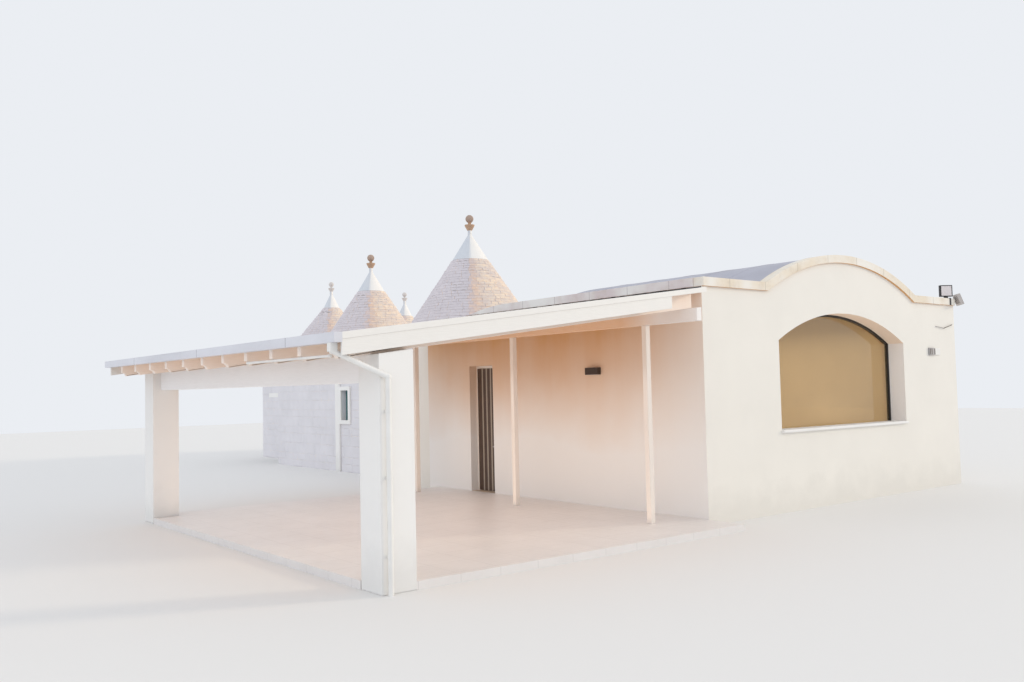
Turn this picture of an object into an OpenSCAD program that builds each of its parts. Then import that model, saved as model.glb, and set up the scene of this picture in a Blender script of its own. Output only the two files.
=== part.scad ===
// Trullo house: a vaulted front wing, a timber porch and four stone-coned trulli.
// Millimetres, +Z up, ground at Z = 0. X runs along the front gable, Y into the house,
// and the left front corner of the wing stands at X = 0, Y = 0.

/* [Wing] */
// Width of the front gable
wing_w = 8500; // [7600:50:9600]
// Length of the wing, with its flat-roofed rear part
wing_l = 8600; // [8200:50:9600]
// Thickness of the side and rear walls
wall_t = 450; // [350:10:600]
// Thickness of the front gable wall
gable_t = 500; // [430:10:650]
// Height of the side walls, where the vault springs
spring_h = 3800; // [3650:10:4100]
// Height of the floors above the ground
floor_h = 100; // [60:5:160]

/* [Parapet] */
// Thickness of the parapet in front of the roof
parapet_t = 160; // [120:10:240]
// Height of the parapet's flat shoulders above the side walls
shoulder_up = 100; // [60:10:300]
// Chord of the raised arc in the middle of the parapet
arc_w = 5000; // [4000:50:5600]
// Rise of that arc above the shoulders
arc_rise = 650; // [400:10:900]
// Thickness of the coping stones
coping_t = 150; // [80:5:200]
// How far the coping stands out at the front
coping_out = 45; // [20:5:90]
// Width of the kerbs along the vault's edges
kerb_w = 150; // [120:5:180]
// How far the top of a kerb stands out over the side wall
kerb_out = 25; // [10:5:50]
// Distance of the kerbs' far ends behind the front of the gable
kerb_l = 7400; // [7000:50:8000]
// Length of the curve in which a kerb comes down to its far end
sweep_l = 2200; // [1500:50:2600]

/* [Vault] */
// Length of the vaulted roof from the front of the gable
vault_l = 6000; // [5600:50:6900]
// Chord of the arched middle of the vault
vault_w = 5400; // [5000:50:6000]
// Rise of that arch above the flat haunches beside it
vault_rise = 710; // [600:10:760]
// Height of the flat haunches above the side walls
vault_edge = 150; // [130:5:175]
// Thickness of the vault
vault_t = 220; // [205:5:260]
// Thickness of the roofing membrane
membrane_t = 15; // [8:1:30]
// Thickness of the wall that closes the far end of the vault
end_wall_t = 250; // [200:10:400]
// Thickness of the flat roof behind the vault
link_roof_t = 200; // [150:10:280]

/* [Arched window] */
// Distance of the window's left jamb from the left corner
window_x = 2050; // [1900:10:2300]
// Width of the window opening
window_w = 4250; // [3600:10:4500]
// Height of the sill above the ground
window_sill_h = 1400; // [1000:10:1700]
// Height where the window arch springs
window_spring_h = 3040; // [2600:10:3100]
// Rise of the window arch
window_rise = 540; // [300:10:600]
// Depth of the reveal in front of the frame
window_reveal = 330; // [200:10:345]
// Face width of the window frame
window_frame_w = 40; // [30:5:100]
// Depth of the window frame
window_frame_d = 80; // [60:5:100]
// Thickness of the glass
glass_t = 24; // [10:1:36]
// Thickness of the sill
sill_t = 50; // [30:5:80]
// How far the sill stands out
sill_out = 60; // [20:5:120]

/* [Doorway] */
// Near side of the doorway in the left wall
door_y = 5690; // [5200:10:5900]
// Width of the doorway
door_w = 830; // [700:10:1000]
// Height of the top of the doorway above the ground
door_h = 2790; // [2300:10:3000]
// Depth of the reveal in front of the door frame
door_reveal = 190; // [150:5:220]
// Face width of a door frame
door_frame_w = 50; // [40:5:80]
// Thickness of a door leaf
leaf_t = 45; // [35:1:60]
// Gap round a door leaf
leaf_gap = 6; // [5:1:10]

/* [Lamps] */
// Distance of the wall light from the gable
light_y = 2410; // [1500:10:3500]
// Height of the wall light's underside
light_z = 2510; // [2200:10:2700]
// Length of the wall light
light_w = 335; // [250:5:500]
// Height of the wall light
light_h = 130; // [90:5:180]
// Depth of the wall light
light_d = 90; // [60:5:130]
// Width of a floodlight
lamp_w = 270; // [200:5:320]
// Height of a floodlight
lamp_h = 250; // [180:5:300]
// Depth of a floodlight
lamp_d = 70; // [50:5:100]

/* [Porch] */
// Distance of the pillars' outer faces from the side wall
porch_w = 6480; // [5500:20:7000]
// Width of a pillar along X
pillar_w = 460; // [380:10:600]
// Width of a pillar along Y
pillar_d = 470; // [380:10:600]
// Distance of the near pillar's front face in front of the gable
porch_front = 700; // [600:10:800]
// Distance from the far pillar's rear face to the end of the wing
porch_back = 780; // [520:10:1000]
// How far the rafters' underside at the pillars lies below the side walls' tops
porch_drop = 1080; // [1000:10:1200]
// Slope of the porch roof
porch_slope = 7.5; // [6.5:0.1:7.6]
// Depth of the outer beam
outer_beam_d = 340; // [240:10:400]
// Width of the outer beam
outer_beam_w = 200; // [150:10:300]
// Distance of the outer beam behind the pillars' outer faces
beam_inset = 140; // [40:10:160]
// Width of a rafter
rafter_w = 90; // [60:5:140]
// Depth of a rafter
rafter_d = 220; // [180:5:230]
// Number of rafters
rafter_n = 11; // [9:1:14]
// Radius of the hollow at the foot of a rafter's tail
notch_r = 72; // [40:1:90]
// How far the rafter tails run past the pillars
tail_out = 480; // [380:10:600]
// Thickness of the porch roof boards
deck_t = 50; // [30:1:56]
// How far the roof runs past the pillars at the front
roof_front_out = 45; // [45:5:120]
// How far the roof runs past the far pillar
roof_back_out = 480; // [200:10:500]
// Distance from the side wall at which the front overhang stops
overhang_stop = 770; // [650:10:850]
// Depth of the barge boards
barge_d = 256; // [240:1:280]
// Height of the barge boards' lower edge above the rafters' underside
barge_up = 40; // [30:1:60]
// Thickness of the barge boards
barge_t = 30; // [20:1:40]
// Height of the strip along the top of the front barge board
strip_h = 78; // [60:1:100]
// How far that strip stands out
strip_out = 12; // [6:1:20]
// Length of the strip beyond the end of the deep board
strip_reach = 780; // [400:10:1000]

/* [Inner beam] */
// Distance of the inner beam's outer face from the side wall
inner_beam_x = 970; // [900:10:1200]
// Width of the inner beam
inner_beam_w = 110; // [105:5:160]
// Depth of the inner beam
inner_beam_d = 195; // [150:5:240]
// Side of a slender post
post_w = 95; // [70:5:105]
// Place of the first slender post behind the gable's face
post_y = 360; // [250:10:600]
// Distance between the slender posts before the last one
post_pitch = 3420; // [2800:10:3440]
// Distance from the last slender post to the inner beam's far end
post_end = 525; // [100:25:900]
// Number of slender posts
post_n = 3; // [2:1:3]

/* [Gutter] */
// Outer width of the gutter
gutter_w = 100; // [90:5:140]
// Height of the gutter
gutter_d = 115; // [90:5:150]
// Thickness of the gutter's sheet
gutter_t = 6; // [4:1:10]
// Diameter of the downpipe
pipe_d = 65; // [55:5:75]
// Distance of the gutter's outlet from its near end
outlet_y = 145; // [60:5:160]
// Width of the outlet box
outlet_w = 86; // [80:2:90]
// Height of the outlet box
outlet_h = 100; // [70:5:140]

/* [Trulli] */
// Height of the trullo walls
trullo_h = 3500; // [3200:10:3700]
// Distance of the trullo front wall from the wing's left wall
trullo_x = 1000; // [700:10:1400]
// Width of the first trullo
trullo_1_w = 4540; // [4300:10:4800]
// Length of the first trullo
trullo_1_l = 4600; // [4300:10:5000]
// Width of the second trullo
trullo_2_w = 3950; // [3800:10:4300]
// Length of the second trullo
trullo_2_l = 5400; // [5000:10:5800]
// How far the third trullo is set back from the second
setback = 1200; // [1000:10:1500]
// Width of the third trullo
trullo_3_w = 3620; // [3610:10:4200]
// Length of the third trullo
trullo_3_l = 4000; // [3800:10:4400]
// Width of the fourth trullo
trullo_4_w = 4000; // [3800:10:4400]
// Length of the fourth trullo
trullo_4_l = 4000; // [3800:10:4300]
// How far the fourth trullo is set back from the third
setback_4 = 1080; // [800:10:1250]

/* [Cones] */
// Outer radius of the first cone at its foot
cone_1_r = 2100; // [2000:10:2140]
// Outer radius of the second cone at its foot
cone_2_r = 1750; // [1600:10:1880]
// Outer radius of the third cone at its foot
cone_3_r = 1800; // [1700:10:1800]
// Outer radius of the fourth cone at its foot
cone_4_r = 1830; // [1700:10:1880]
// Height of the first stone cone
cone_1_h = 2375; // [2200:5:2600]
// Height of the second stone cone
cone_2_h = 1970; // [1800:10:2200]
// Height of the third stone cone
cone_3_h = 1875; // [1700:5:2100]
// Height of the fourth stone cone
cone_4_h = 1780; // [1650:10:2000]
// Thickness of the stone cones
cone_t = 480; // [350:10:600]
// Radius at the foot of the first white tip
tip_1_r = 505; // [420:5:600]
// Radius at the foot of the second white tip
tip_2_r = 425; // [380:5:500]
// Radius at the foot of the third and fourth white tips
tip_3_r = 280; // [240:10:340]
// Height of the first white tip
tip_1_h = 720; // [550:10:850]
// Height of the second white tip
tip_2_h = 630; // [550:10:850]
// Height of the third and fourth white tips
tip_3_h = 475; // [350:5:550]
// Radius of the neck on top of a tip
neck_r = 55; // [40:1:60]
// Height of that neck
neck_h = 130; // [80:5:180]
// Radius of the ball of the first two pinnacles
ball_r = 112; // [95:1:130]
// Radius of the ball of the other two pinnacles
small_ball_r = 90; // [75:1:110]

/* [Trullo openings] */
// Near side of the small window behind the wing
small_window_y = 5200; // [4900:10:5280]
// Width of the small window
small_window_w = 420; // [350:10:600]
// Height of the small window
small_window_d = 860; // [700:10:1000]
// Height of the small window's sill above the ground
small_window_h = 1480; // [1200:10:1700]
// Depth of the reveal in front of the small window
small_reveal = 120; // [60:5:200]
// Face width of the small window's frame
small_frame_w = 45; // [30:5:70]
// Depth of the small window's frame
small_frame_d = 50; // [40:2:70]
// Width of the white surround of the small window
surround_w = 110; // [80:5:150]
// Distance of the trullo doorway from the third trullo's near corner
trullo_door_in = 820; // [700:10:900]
// Width of the trullo doorway
trullo_door_w = 850; // [750:10:900]
// Height of the top of the trullo doorway
trullo_door_h = 2050; // [1900:10:2150]
// Distance of the white band from the second trullo's near corner
band_in = 1110; // [1100:10:1200]
// Width of the raised white band
band_w = 240; // [180:10:300]
// Height of the white band
band_h = 2550; // [2200:10:3000]
// Thickness of the white trim
trim_t = 60; // [30:5:90]
// Width of the door canopy
canopy_w = 1230; // [1000:10:1400]
// Projection of the door canopy
canopy_out = 700; // [500:10:900]
// Thickness of the door canopy
canopy_t = 140; // [80:5:160]
// Height of the canopy above the doorway
canopy_up = 120; // [60:10:200]
// Width of the arched ways between the trulli
arch_w = 900; // [800:10:960]
// Height of these arched ways
arch_h = 2100; // [1900:10:2300]

/* [Hidden] */
$fn = 96;
gable_fn = 240;
vault_n = 48;
cut = 20;
// Radius of an arc from its chord and rise
function arc_r(chord, rise) = (chord * chord / 4 + rise * rise) / (2 * rise);

shoulder_h = spring_h + shoulder_up;
wing_mid = wing_w / 2;
gable_arc_r = arc_r(arc_w, arc_rise);
gable_arc_z = shoulder_h + arc_rise - gable_arc_r;
window_mid = window_x + window_w / 2;
window_arc_r = arc_r(window_w, window_rise);
window_arc_z = window_spring_h + window_rise - window_arc_r;
vault_r = arc_r(vault_w, vault_rise);
vault_z = spring_h + vault_edge + vault_rise - vault_r;
// Half the chord of the vault's underside where it springs from the walls
soffit_r = vault_r - vault_t;
soffit_half = sqrt(pow(soffit_r, 2) - pow(spring_h - vault_z, 2));
// Points along an arc about the vault's centre line, from half-chord half to -half
function vault_arc(radius, half) = let (end = asin(half / radius))
    [for (i = [0:vault_n]) let (a = end * (1 - 2 * i / vault_n))
        [wing_mid + radius * sin(a), vault_z + radius * cos(a)]];
function reversed(points) = [for (i = [len(points) - 1:-1:0]) points[i]];
// Line over the vault's back from the right kerb to the left one, raised by lift
function roof_line(lift) = let (z = spring_h + vault_edge + lift)
    concat([[wing_w - kerb_w, z]], [for (p = vault_arc(vault_r, vault_w / 2)) p + [0, lift]],
        [[kerb_w, z]]);
sweep_n = 16;
kerb_end = 40;

slope_tan = tan(porch_slope);
slope_cos = cos(porch_slope);
rafter_h = spring_h - porch_drop;
// Height of the rafters' underside at X = x
function rafter_z(x) = rafter_h + (x + porch_w) * slope_tan;
rafter_v = rafter_d / slope_cos;
// Play between sloping timbers that lie on one another
bed = 0.05;
deck_v = deck_t / slope_cos;
barge_top = barge_up + barge_d / slope_cos;
board_t = strip_out + barge_t;
porch_y0 = -porch_front;
porch_y1 = wing_l - porch_back;
pillar_pitch = porch_y1 - porch_y0 - pillar_d;
roof_y0 = porch_y0 - roof_front_out;
roof_y1 = porch_y1 + roof_back_out;
roof_x0 = -porch_w - tail_out;
outer_beam_h = rafter_z(-porch_w + beam_inset) - outer_beam_d;
inner_beam_h = rafter_z(-inner_beam_x) - inner_beam_d;
rafter_y0 = porch_y0 + (pillar_d - rafter_w) / 2;
rafter_step = pillar_pitch / (rafter_n - 1);

gutter_x = roof_x0 - gutter_w;
gutter_z = rafter_z(roof_x0) + barge_top - gutter_d;
pipe_r = pipe_d / 2;
bend_r = pipe_r + 6;
bend_up = 10;
pipe_off = 60;
pipe_in = 82;
elbow_up = 55;
outlet = [gutter_x + gutter_w / 2, roof_y0 + outlet_y, gutter_z - outlet_h];
pipe_bend = outlet + [0, 0, bend_up];
pipe_elbow = [-porch_w + pipe_in, porch_y0 - pipe_off, outer_beam_h + elbow_up];

block_x0 = [trullo_x, trullo_x, trullo_x + setback, trullo_x + setback + trullo_3_w];
block_y0 = [wing_l, wing_l + trullo_1_l, wing_l + trullo_1_l + trullo_2_l,
    wing_l + trullo_1_l + trullo_2_l + setback_4];
block_w = [trullo_1_w, trullo_2_w, trullo_3_w, trullo_4_w];
block_l = [trullo_1_l, trullo_2_l, trullo_3_l, trullo_4_l];
cone_center_x = [for (i = [0:3]) block_x0[i] + block_w[i] / 2];
cone_center_y = [for (i = [0:3]) block_y0[i] + block_l[i] / 2];
cone_r = [cone_1_r, cone_2_r, cone_3_r, cone_4_r];
cone_h = [cone_1_h, cone_2_h, cone_3_h, cone_4_h];
tip_r = [tip_1_r, tip_2_r, tip_3_r, tip_3_r];
tip_h = [tip_1_h, tip_2_h, tip_3_h, tip_3_h];
pinnacle_r = [ball_r, ball_r, small_ball_r, small_ball_r];
room_r = [for (r = cone_r) r - cone_t];
cone_eye = 60;
sink = 0.01;
window_2_y = wing_l + small_window_y;
trullo_door_x = block_x0[2] + door_reveal;
trullo_door_y = block_y0[2] + trullo_door_in;
passage_x = cone_center_x[1] + setback / 2;

pin_r = 6;
pin_play = 0.3;
pin_off = 12;
knuckle_r = 11;
knuckle_h = 90;
leaf_under = 8;
lug_h = 16;
lug_r = 7;
lug_x = 20;
lug_y = 25;
lug_inset = 5;
lug_nose = 10;
strap_t = 6;
strap_w = 50;
strap_web = 9;
low_hinge = 0.14;
high_hinge = 0.8;

lamp_in = 210;
lamp_y = 50;
lamp_up = 45;
lamp_turn = [-35, 45];
lamp_tip = -20;
lamp_2 = [wing_w + 100, -70, shoulder_h + coping_t - 20];
foot_w = 60;
foot_t = 8;
arm = [90, 40, 40];

// An outline drawn in X and Z, extruded from Y = from to Y = to
module along_y(from, to) {
    translate([0, to, 0]) rotate([90, 0, 0]) linear_extrude(to - from) children();
}

// A round bar between two points
module rod(a, b, r) {
    d = b - a;
    length = norm(d);
    translate(a) rotate([0, acos(d[2] / length), atan2(d[1], d[0])]) cylinder(h = length, r = r);
}

// Outline of the gable, grown upwards by extra
module gable_outline(extra) {
    square([wing_w, shoulder_h + extra]);
    intersection() {
        translate([wing_mid, gable_arc_z]) circle(gable_arc_r + extra, $fn = gable_fn);
        square([wing_w, shoulder_h + arc_rise + 2 * extra]);
    }
}

// Outline of the arched window, grown by extra at the sides and the arch
module window_outline(extra) {
    translate([window_x - extra, window_sill_h - extra])
        square([window_w + 2 * extra, window_spring_h - window_sill_h + extra]);
    intersection() {
        translate([window_mid, window_arc_z]) circle(window_arc_r + extra, $fn = gable_fn);
        translate([window_x - extra, window_sill_h])
            square([window_w + 2 * extra, window_spring_h + window_rise]);
    }
}

// Outline of the masonry under the vault, from the ground to the vault's underside
module under_vault() {
    polygon(concat([[wing_w, 0], [wing_w, spring_h]], vault_arc(soffit_r, soffit_half),
        [[0, spring_h], [0, 0]]));
}

// Cross-section of the vault between its kerbs, with its back raised by lift
module vault_section(lift) {
    polygon(concat(roof_line(lift), [[kerb_w, spring_h]],
        reversed(vault_arc(soffit_r, soffit_half)), [[wing_w - kerb_w, spring_h]]));
}

// The parapet rises in front of the roof; behind it the wall carries the vault
module front_gable_wall() {
    color("antiquewhite") along_y(0, parapet_t) difference() {
        gable_outline(0);
        window_outline(0);
    }
    color("antiquewhite") along_y(parapet_t, gable_t) difference() {
        under_vault();
        window_outline(0);
    }
}

module gable_coping() {
    color("wheat") along_y(-coping_out, parapet_t) intersection() {
        difference() {
            gable_outline(coping_t);
            gable_outline(0);
        }
        translate([0, shoulder_h]) square([wing_w, arc_rise + 2 * coping_t]);
    }
}

// Side view of what is taken off a kerb where it comes down at its far end
module kerb_sweep(top) {
    fall = top - spring_h - kerb_end;
    start = kerb_l - sweep_l;
    curve = [for (i = [0:sweep_n])
        [start + sweep_l * i / sweep_n, top - fall * (1 - cos(180 * i / sweep_n)) / 2]];
    polygon(concat([[start, top + cut]], curve,
        [[kerb_l + cut, top - fall], [kerb_l + cut, top + cut]]));
}

// A kerb on a side wall, whose outer face is at x and whose inner side is towards inward
module kerb(x, inward) {
    top = shoulder_h + coping_t;
    outer = x - inward * kerb_out;
    inner = x + inward * kerb_w;
    difference() {
        along_y(parapet_t, kerb_l) polygon([[x, spring_h], [inner, spring_h], [inner, top],
            [outer, top], [outer, shoulder_h], [x, shoulder_h]]);
        translate([min(outer, inner) - cut, 0, 0]) rotate([90, 0, 90])
            linear_extrude(kerb_w + kerb_out + 2 * cut) kerb_sweep(top);
    }
}

module side_kerbs() {
    color("wheat") kerb(0, 1);
    color("wheat") kerb(wing_w, -1);
}

// A stretch of a side wall
module wall_run(x, from, to, bottom, top) {
    translate([x, from, bottom]) cube([wall_t, to - from, top - bottom]);
}

module left_wall_front() {
    color("antiquewhite") wall_run(0, gable_t, door_y, 0, spring_h);
}

module left_wall_rear() {
    color("antiquewhite") wall_run(0, door_y + door_w, wing_l - wall_t, 0, spring_h);
}

module left_wall_lintel() {
    color("antiquewhite") wall_run(0, door_y, door_y + door_w, door_h, spring_h);
}

module right_wall() {
    color("antiquewhite") wall_run(wing_w - wall_t, gable_t, wing_l - wall_t, 0, spring_h);
}

module rear_wall() {
    color("antiquewhite") translate([0, wing_l - wall_t, 0]) cube([wing_w, wall_t, spring_h]);
}

module barrel_vault() {
    color("lightgrey") along_y(parapet_t + membrane_t, vault_l) vault_section(0);
}

// The membrane covers the vault and is dressed down over its front end
module vault_membrane() {
    color("lightslategrey") along_y(parapet_t, parapet_t + membrane_t) vault_section(membrane_t);
    color("lightslategrey") along_y(parapet_t + membrane_t, vault_l)
        polygon(concat(roof_line(membrane_t), reversed(roof_line(0))));
}

module vault_end_wall() {
    color("antiquewhite") along_y(vault_l - end_wall_t, vault_l)
        polygon(vault_arc(soffit_r, soffit_half));
}

// The flat roof hangs between the side walls and carries the end wall of the vault
module link_roof() {
    color("lightslategrey") translate([wall_t, vault_l - end_wall_t, spring_h - link_roof_t])
        cube([wing_w - 2 * wall_t, wing_l - wall_t - vault_l + end_wall_t, link_roof_t]);
}

module wing_floor() {
    color("tan") translate([wall_t, gable_t, 0])
        cube([wing_w - 2 * wall_t, wing_l - wall_t - gable_t, floor_h]);
    color("tan") translate([0, door_y, 0]) cube([wall_t, door_w, floor_h]);
}

module window_frame() {
    color("dimgrey") along_y(window_reveal, window_reveal + window_frame_d) difference() {
        window_outline(0);
        window_outline(-window_frame_w);
    }
}

module window_glass() {
    glass_y = window_reveal + (window_frame_d - glass_t) / 2;
    color("lightsteelblue") along_y(glass_y, glass_y + glass_t) window_outline(-window_frame_w);
}

module window_sill() {
    color("white") translate([window_x, -sill_out, window_sill_h])
        cube([window_w, sill_out + window_reveal, sill_t]);
}

// Frame of a hinged door in a wall that faces -X, with lugs that carry its pins
module hinged_frame(x, y, w, h) {
    depth = leaf_t + leaf_gap;
    translate([x, y, floor_h]) cube([depth, door_frame_w, h - floor_h]);
    translate([x, y + w - door_frame_w, floor_h]) cube([depth, door_frame_w, h - floor_h]);
    translate([x, y + door_frame_w, h - door_frame_w])
        cube([depth, w - 2 * door_frame_w, door_frame_w]);
    for (z = hinge_heights(h)) hinge_lugs(x + depth, y + w - door_frame_w, z);
}

function hinge_heights(h) = [floor_h + low_hinge * h, high_hinge * h];

// Two lugs on the inner face of the far jamb and the pin between them
module hinge_lugs(x, jamb, z) {
    pin_y = jamb - leaf_gap / 2;
    for (side = [-lug_h - pin_play, knuckle_h + pin_play]) {
        translate([x, jamb, z + side]) cube([lug_x, lug_y, lug_h]);
        translate([x + lug_inset, pin_y, z + side]) cube([lug_x - lug_inset, lug_nose, lug_h]);
        translate([x + pin_off, pin_y, z + side]) cylinder(h = lug_h, r = lug_r);
    }
    translate([x + pin_off, pin_y, z - lug_h]) cylinder(h = knuckle_h + 2 * lug_h, r = pin_r);
}

// Leaf of that door, closed, with the knuckles that turn on the pins
module hinged_leaf(x, y, w, h) {
    near = y + door_frame_w + leaf_gap;
    far = y + w - door_frame_w - leaf_gap;
    bottom = floor_h + leaf_under;
    top = h - door_frame_w - leaf_gap;
    back = x + leaf_gap + leaf_t;
    pin_y = y + w - door_frame_w - leaf_gap / 2;
    difference() {
        union() {
            translate([x + leaf_gap, near, bottom]) cube([leaf_t, far - near, top - bottom]);
            for (z = hinge_heights(h)) {
                translate([back + pin_off, pin_y, z]) cylinder(h = knuckle_h, r = knuckle_r);
                translate([back, pin_y - strap_w, z]) cube([strap_t, strap_w, knuckle_h]);
                translate([back, pin_y - strap_web, z]) cube([pin_off, strap_web, knuckle_h]);
            }
        }
        for (z = hinge_heights(h)) translate([back + pin_off, pin_y, z - cut])
            cylinder(h = knuckle_h + 2 * cut, r = pin_r + pin_play);
    }
}

module door_frame() {
    color("white") hinged_frame(door_reveal, door_y, door_w, door_h);
}

module door_leaf() {
    color("saddlebrown") hinged_leaf(door_reveal, door_y, door_w, door_h);
}

module wall_light() {
    color("dimgrey") translate([-light_d, light_y, light_z]) cube([light_d, light_w, light_h]);
}

// Body of a floodlight about its middle, with its glass turned towards -Y
module lamp_body() {
    translate([-lamp_w / 2, -lamp_d / 2, -lamp_h / 2]) cube([lamp_w, lamp_d, lamp_h]);
}

// One floodlight stands on the coping, on a foot that hooks over its front edge; the other
// is held by an arm at the coping's right end
module floodlights() {
    top = shoulder_h + coping_t;
    foot_x = wing_w - lamp_in - foot_w / 2;
    color("dimgrey") {
        translate([wing_w - lamp_in, lamp_y, top + lamp_up + lamp_h / 2])
            rotate([0, 0, lamp_turn[0]]) lamp_body();
        translate([foot_x, lamp_y - lamp_d / 2, top]) cube([foot_w, lamp_d, lamp_up + foot_t]);
        translate([foot_x, -coping_out - foot_t, top]) cube([foot_w, coping_out + lamp_y, foot_t]);
        translate([foot_x, -coping_out - foot_t, shoulder_h])
            cube([foot_w, foot_t, coping_t + foot_t]);
        translate(lamp_2) rotate([lamp_tip, 0, lamp_turn[1]]) lamp_body();
        translate([wing_w, -arm[1], top - arm[2]]) cube(arm);
    }
}

module porch_floor() {
    color("linen") difference() {
        translate([-porch_w, porch_y0, 0]) cube([porch_w, porch_y1 - porch_y0, floor_h]);
        for (y = [porch_y0, porch_y1 - pillar_d]) translate([-porch_w - cut, y - cut, -cut])
            cube([pillar_w + cut, pillar_d + 2 * cut, floor_h + 2 * cut]);
    }
}

// Side of a beam or pillar whose top follows the rafters' underside
module under_rafters(x, w, bottom) {
    polygon([[x, bottom], [x + w, bottom], [x + w, rafter_z(x + w) - bed],
        [x, rafter_z(x) - bed]]);
}

module porch_pillars() {
    for (y = [porch_y0, porch_y1 - pillar_d])
        color("white") along_y(y, y + pillar_d) under_rafters(-porch_w, pillar_w, 0);
}

module outer_beam() {
    color("white") along_y(porch_y0 + pillar_d, porch_y1 - pillar_d)
        under_rafters(-porch_w + beam_inset, outer_beam_w, outer_beam_h);
}

module inner_beam() {
    color("white") along_y(roof_y0 + board_t, porch_y1)
        under_rafters(-inner_beam_x, inner_beam_w, inner_beam_h);
}

module slender_posts() {
    post_x = -inner_beam_x + (inner_beam_w - post_w) / 2;
    last_y = porch_y1 - post_end - post_w;
    for (i = [0:post_n - 1])
        color("white") translate([post_x, i < post_n - 1 ? post_y + i * post_pitch : last_y, floor_h])
        cube([post_w, post_w, inner_beam_h - floor_h]);
}

// A strip that follows the roof's slope between two X, from one height above the rafters'
// underside to another
module slope_strip(x0, x1, low, high) {
    polygon([[x0, rafter_z(x0) + low], [x1, rafter_z(x1) + low],
        [x1, rafter_z(x1) + high], [x0, rafter_z(x0) + high]]);
}

// Side of one rafter, hollowed out below its tail
module rafter_outline(x1) {
    difference() {
        slope_strip(roof_x0, x1, 0, rafter_v);
        translate([roof_x0, rafter_z(roof_x0)]) circle(notch_r);
    }
}

// A rafter in front of the gable ends on the inner beam
module rafters() {
    for (i = [0:rafter_n - 1]) {
        y = rafter_y0 + i * rafter_step;
        color("white") along_y(y, y + rafter_w)
            rafter_outline(y < 0 ? inner_beam_w - inner_beam_x : 0);
    }
}

// The front board carries a raised strip along its top, which runs on past the board's end
module barge_boards() {
    color("white") along_y(roof_y0 + strip_out, roof_y0 + board_t)
        slope_strip(roof_x0, -overhang_stop - strip_reach, barge_up, barge_top);
    color("white") along_y(roof_y0, roof_y0 + board_t)
        slope_strip(roof_x0, -overhang_stop, barge_top - strip_h, barge_top);
    color("white") along_y(roof_y1 - board_t, roof_y1) slope_strip(roof_x0, 0, barge_up, barge_top);
}

// Plan of the porch roof: the overhang in front of the gable stops short of the wall
module roof_layer(low, high) {
    along_y(roof_y0 + board_t, 0) slope_strip(roof_x0, -overhang_stop, low, high);
    along_y(0, roof_y1 - board_t) slope_strip(roof_x0, 0, low, high);
}

module porch_deck() {
    color("ivory") roof_layer(rafter_v + bed, rafter_v + deck_v);
}

module porch_membrane() {
    color("lightslategrey") roof_layer(rafter_v + deck_v, rafter_v + deck_v + membrane_t);
}

module gutter() {
    color("lightsteelblue") along_y(roof_y0, roof_y1) difference() {
        translate([gutter_x, gutter_z]) square([gutter_w, gutter_d]);
        translate([gutter_x + gutter_t, gutter_z + gutter_t])
            square([gutter_w - 2 * gutter_t, gutter_d]);
    }
    for (y = [roof_y0, roof_y1 - gutter_t])
        color("lightsteelblue") translate([gutter_x, y, gutter_z]) cube([gutter_w, gutter_t, gutter_d]);
}

// An outlet box under the gutter, a sloping length of pipe and a standing one
module downpipe() {
    color("white") {
        translate(outlet - [outlet_w / 2, outlet_w / 2, 0]) cube([outlet_w, outlet_w, outlet_h]);
        translate(pipe_bend) sphere(bend_r);
        rod(pipe_elbow, pipe_bend, pipe_r);
        translate(pipe_elbow) sphere(bend_r);
        rod([pipe_elbow[0], pipe_elbow[1], 0], pipe_elbow, pipe_r);
    }
}

// An arched way through a wall, drawn in the plane of the wall and centred on its middle
module arch_way(w, h) {
    translate([-w / 2, floor_h]) square([w, h - floor_h - w / 2]);
    translate([0, h - w / 2]) circle(w / 2);
}

// Walls of one trullo: a thick block round a round room
module trullo_block(i) {
    translate([block_x0[i], block_y0[i], 0]) cube([block_w[i], block_l[i], trullo_h]);
}

module room_cut(i) {
    translate([cone_center_x[i], cone_center_y[i], -cut])
        cylinder(h = trullo_h + 2 * cut, r = room_r[i]);
}

module arch_along_y(x, from, to) {
    translate([x, 0, 0]) along_y(from, to) arch_way(arch_w, arch_h);
}

module arch_along_x(y, from, to) {
    translate([from, y, 0]) rotate([0, 0, -90]) arch_along_y(0, 0, to - from);
}

module trullo_walls_1() {
    color("snow") difference() {
        trullo_block(0);
        room_cut(0);
        arch_along_y(cone_center_x[1], cone_center_y[0], block_y0[1] + cut);
    }
}

module trullo_walls_2() {
    color("snow") difference() {
        trullo_block(1);
        room_cut(1);
        arch_along_y(cone_center_x[1], block_y0[1] - cut, cone_center_y[1]);
        arch_along_y(passage_x, cone_center_y[1], block_y0[2] + cut);
        translate([trullo_x - cut, window_2_y, small_window_h])
            cube([trullo_2_w / 2, small_window_w, small_window_d]);
    }
}

module trullo_walls_3() {
    color("snow") difference() {
        trullo_block(2);
        room_cut(2);
        arch_along_y(passage_x, block_y0[2] - cut, cone_center_y[2]);
        translate([block_x0[2] - cut, trullo_door_y, floor_h])
            cube([trullo_3_w / 2, trullo_door_w, trullo_door_h - floor_h]);
        arch_along_x(cone_center_y[3], cone_center_x[2], block_x0[3] + cut);
    }
}

module trullo_walls_4() {
    color("snow") difference() {
        trullo_block(3);
        room_cut(3);
        arch_along_x(cone_center_y[3], block_x0[3] - cut, cone_center_x[3]);
    }
}

// A hollow stone cone on its wall, closed at the top by its tip
module stone_cone(i) {
    slant = (cone_r[i] - tip_r[i]) / cone_h[i];
    color("darkgrey") translate([cone_center_x[i], cone_center_y[i], trullo_h]) difference() {
        cylinder(h = cone_h[i], r1 = cone_r[i], r2 = tip_r[i]);
        translate([0, 0, -sink])
            cylinder(h = (room_r[i] - cone_eye) / slant, r1 = room_r[i], r2 = cone_eye);
    }
}

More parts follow.
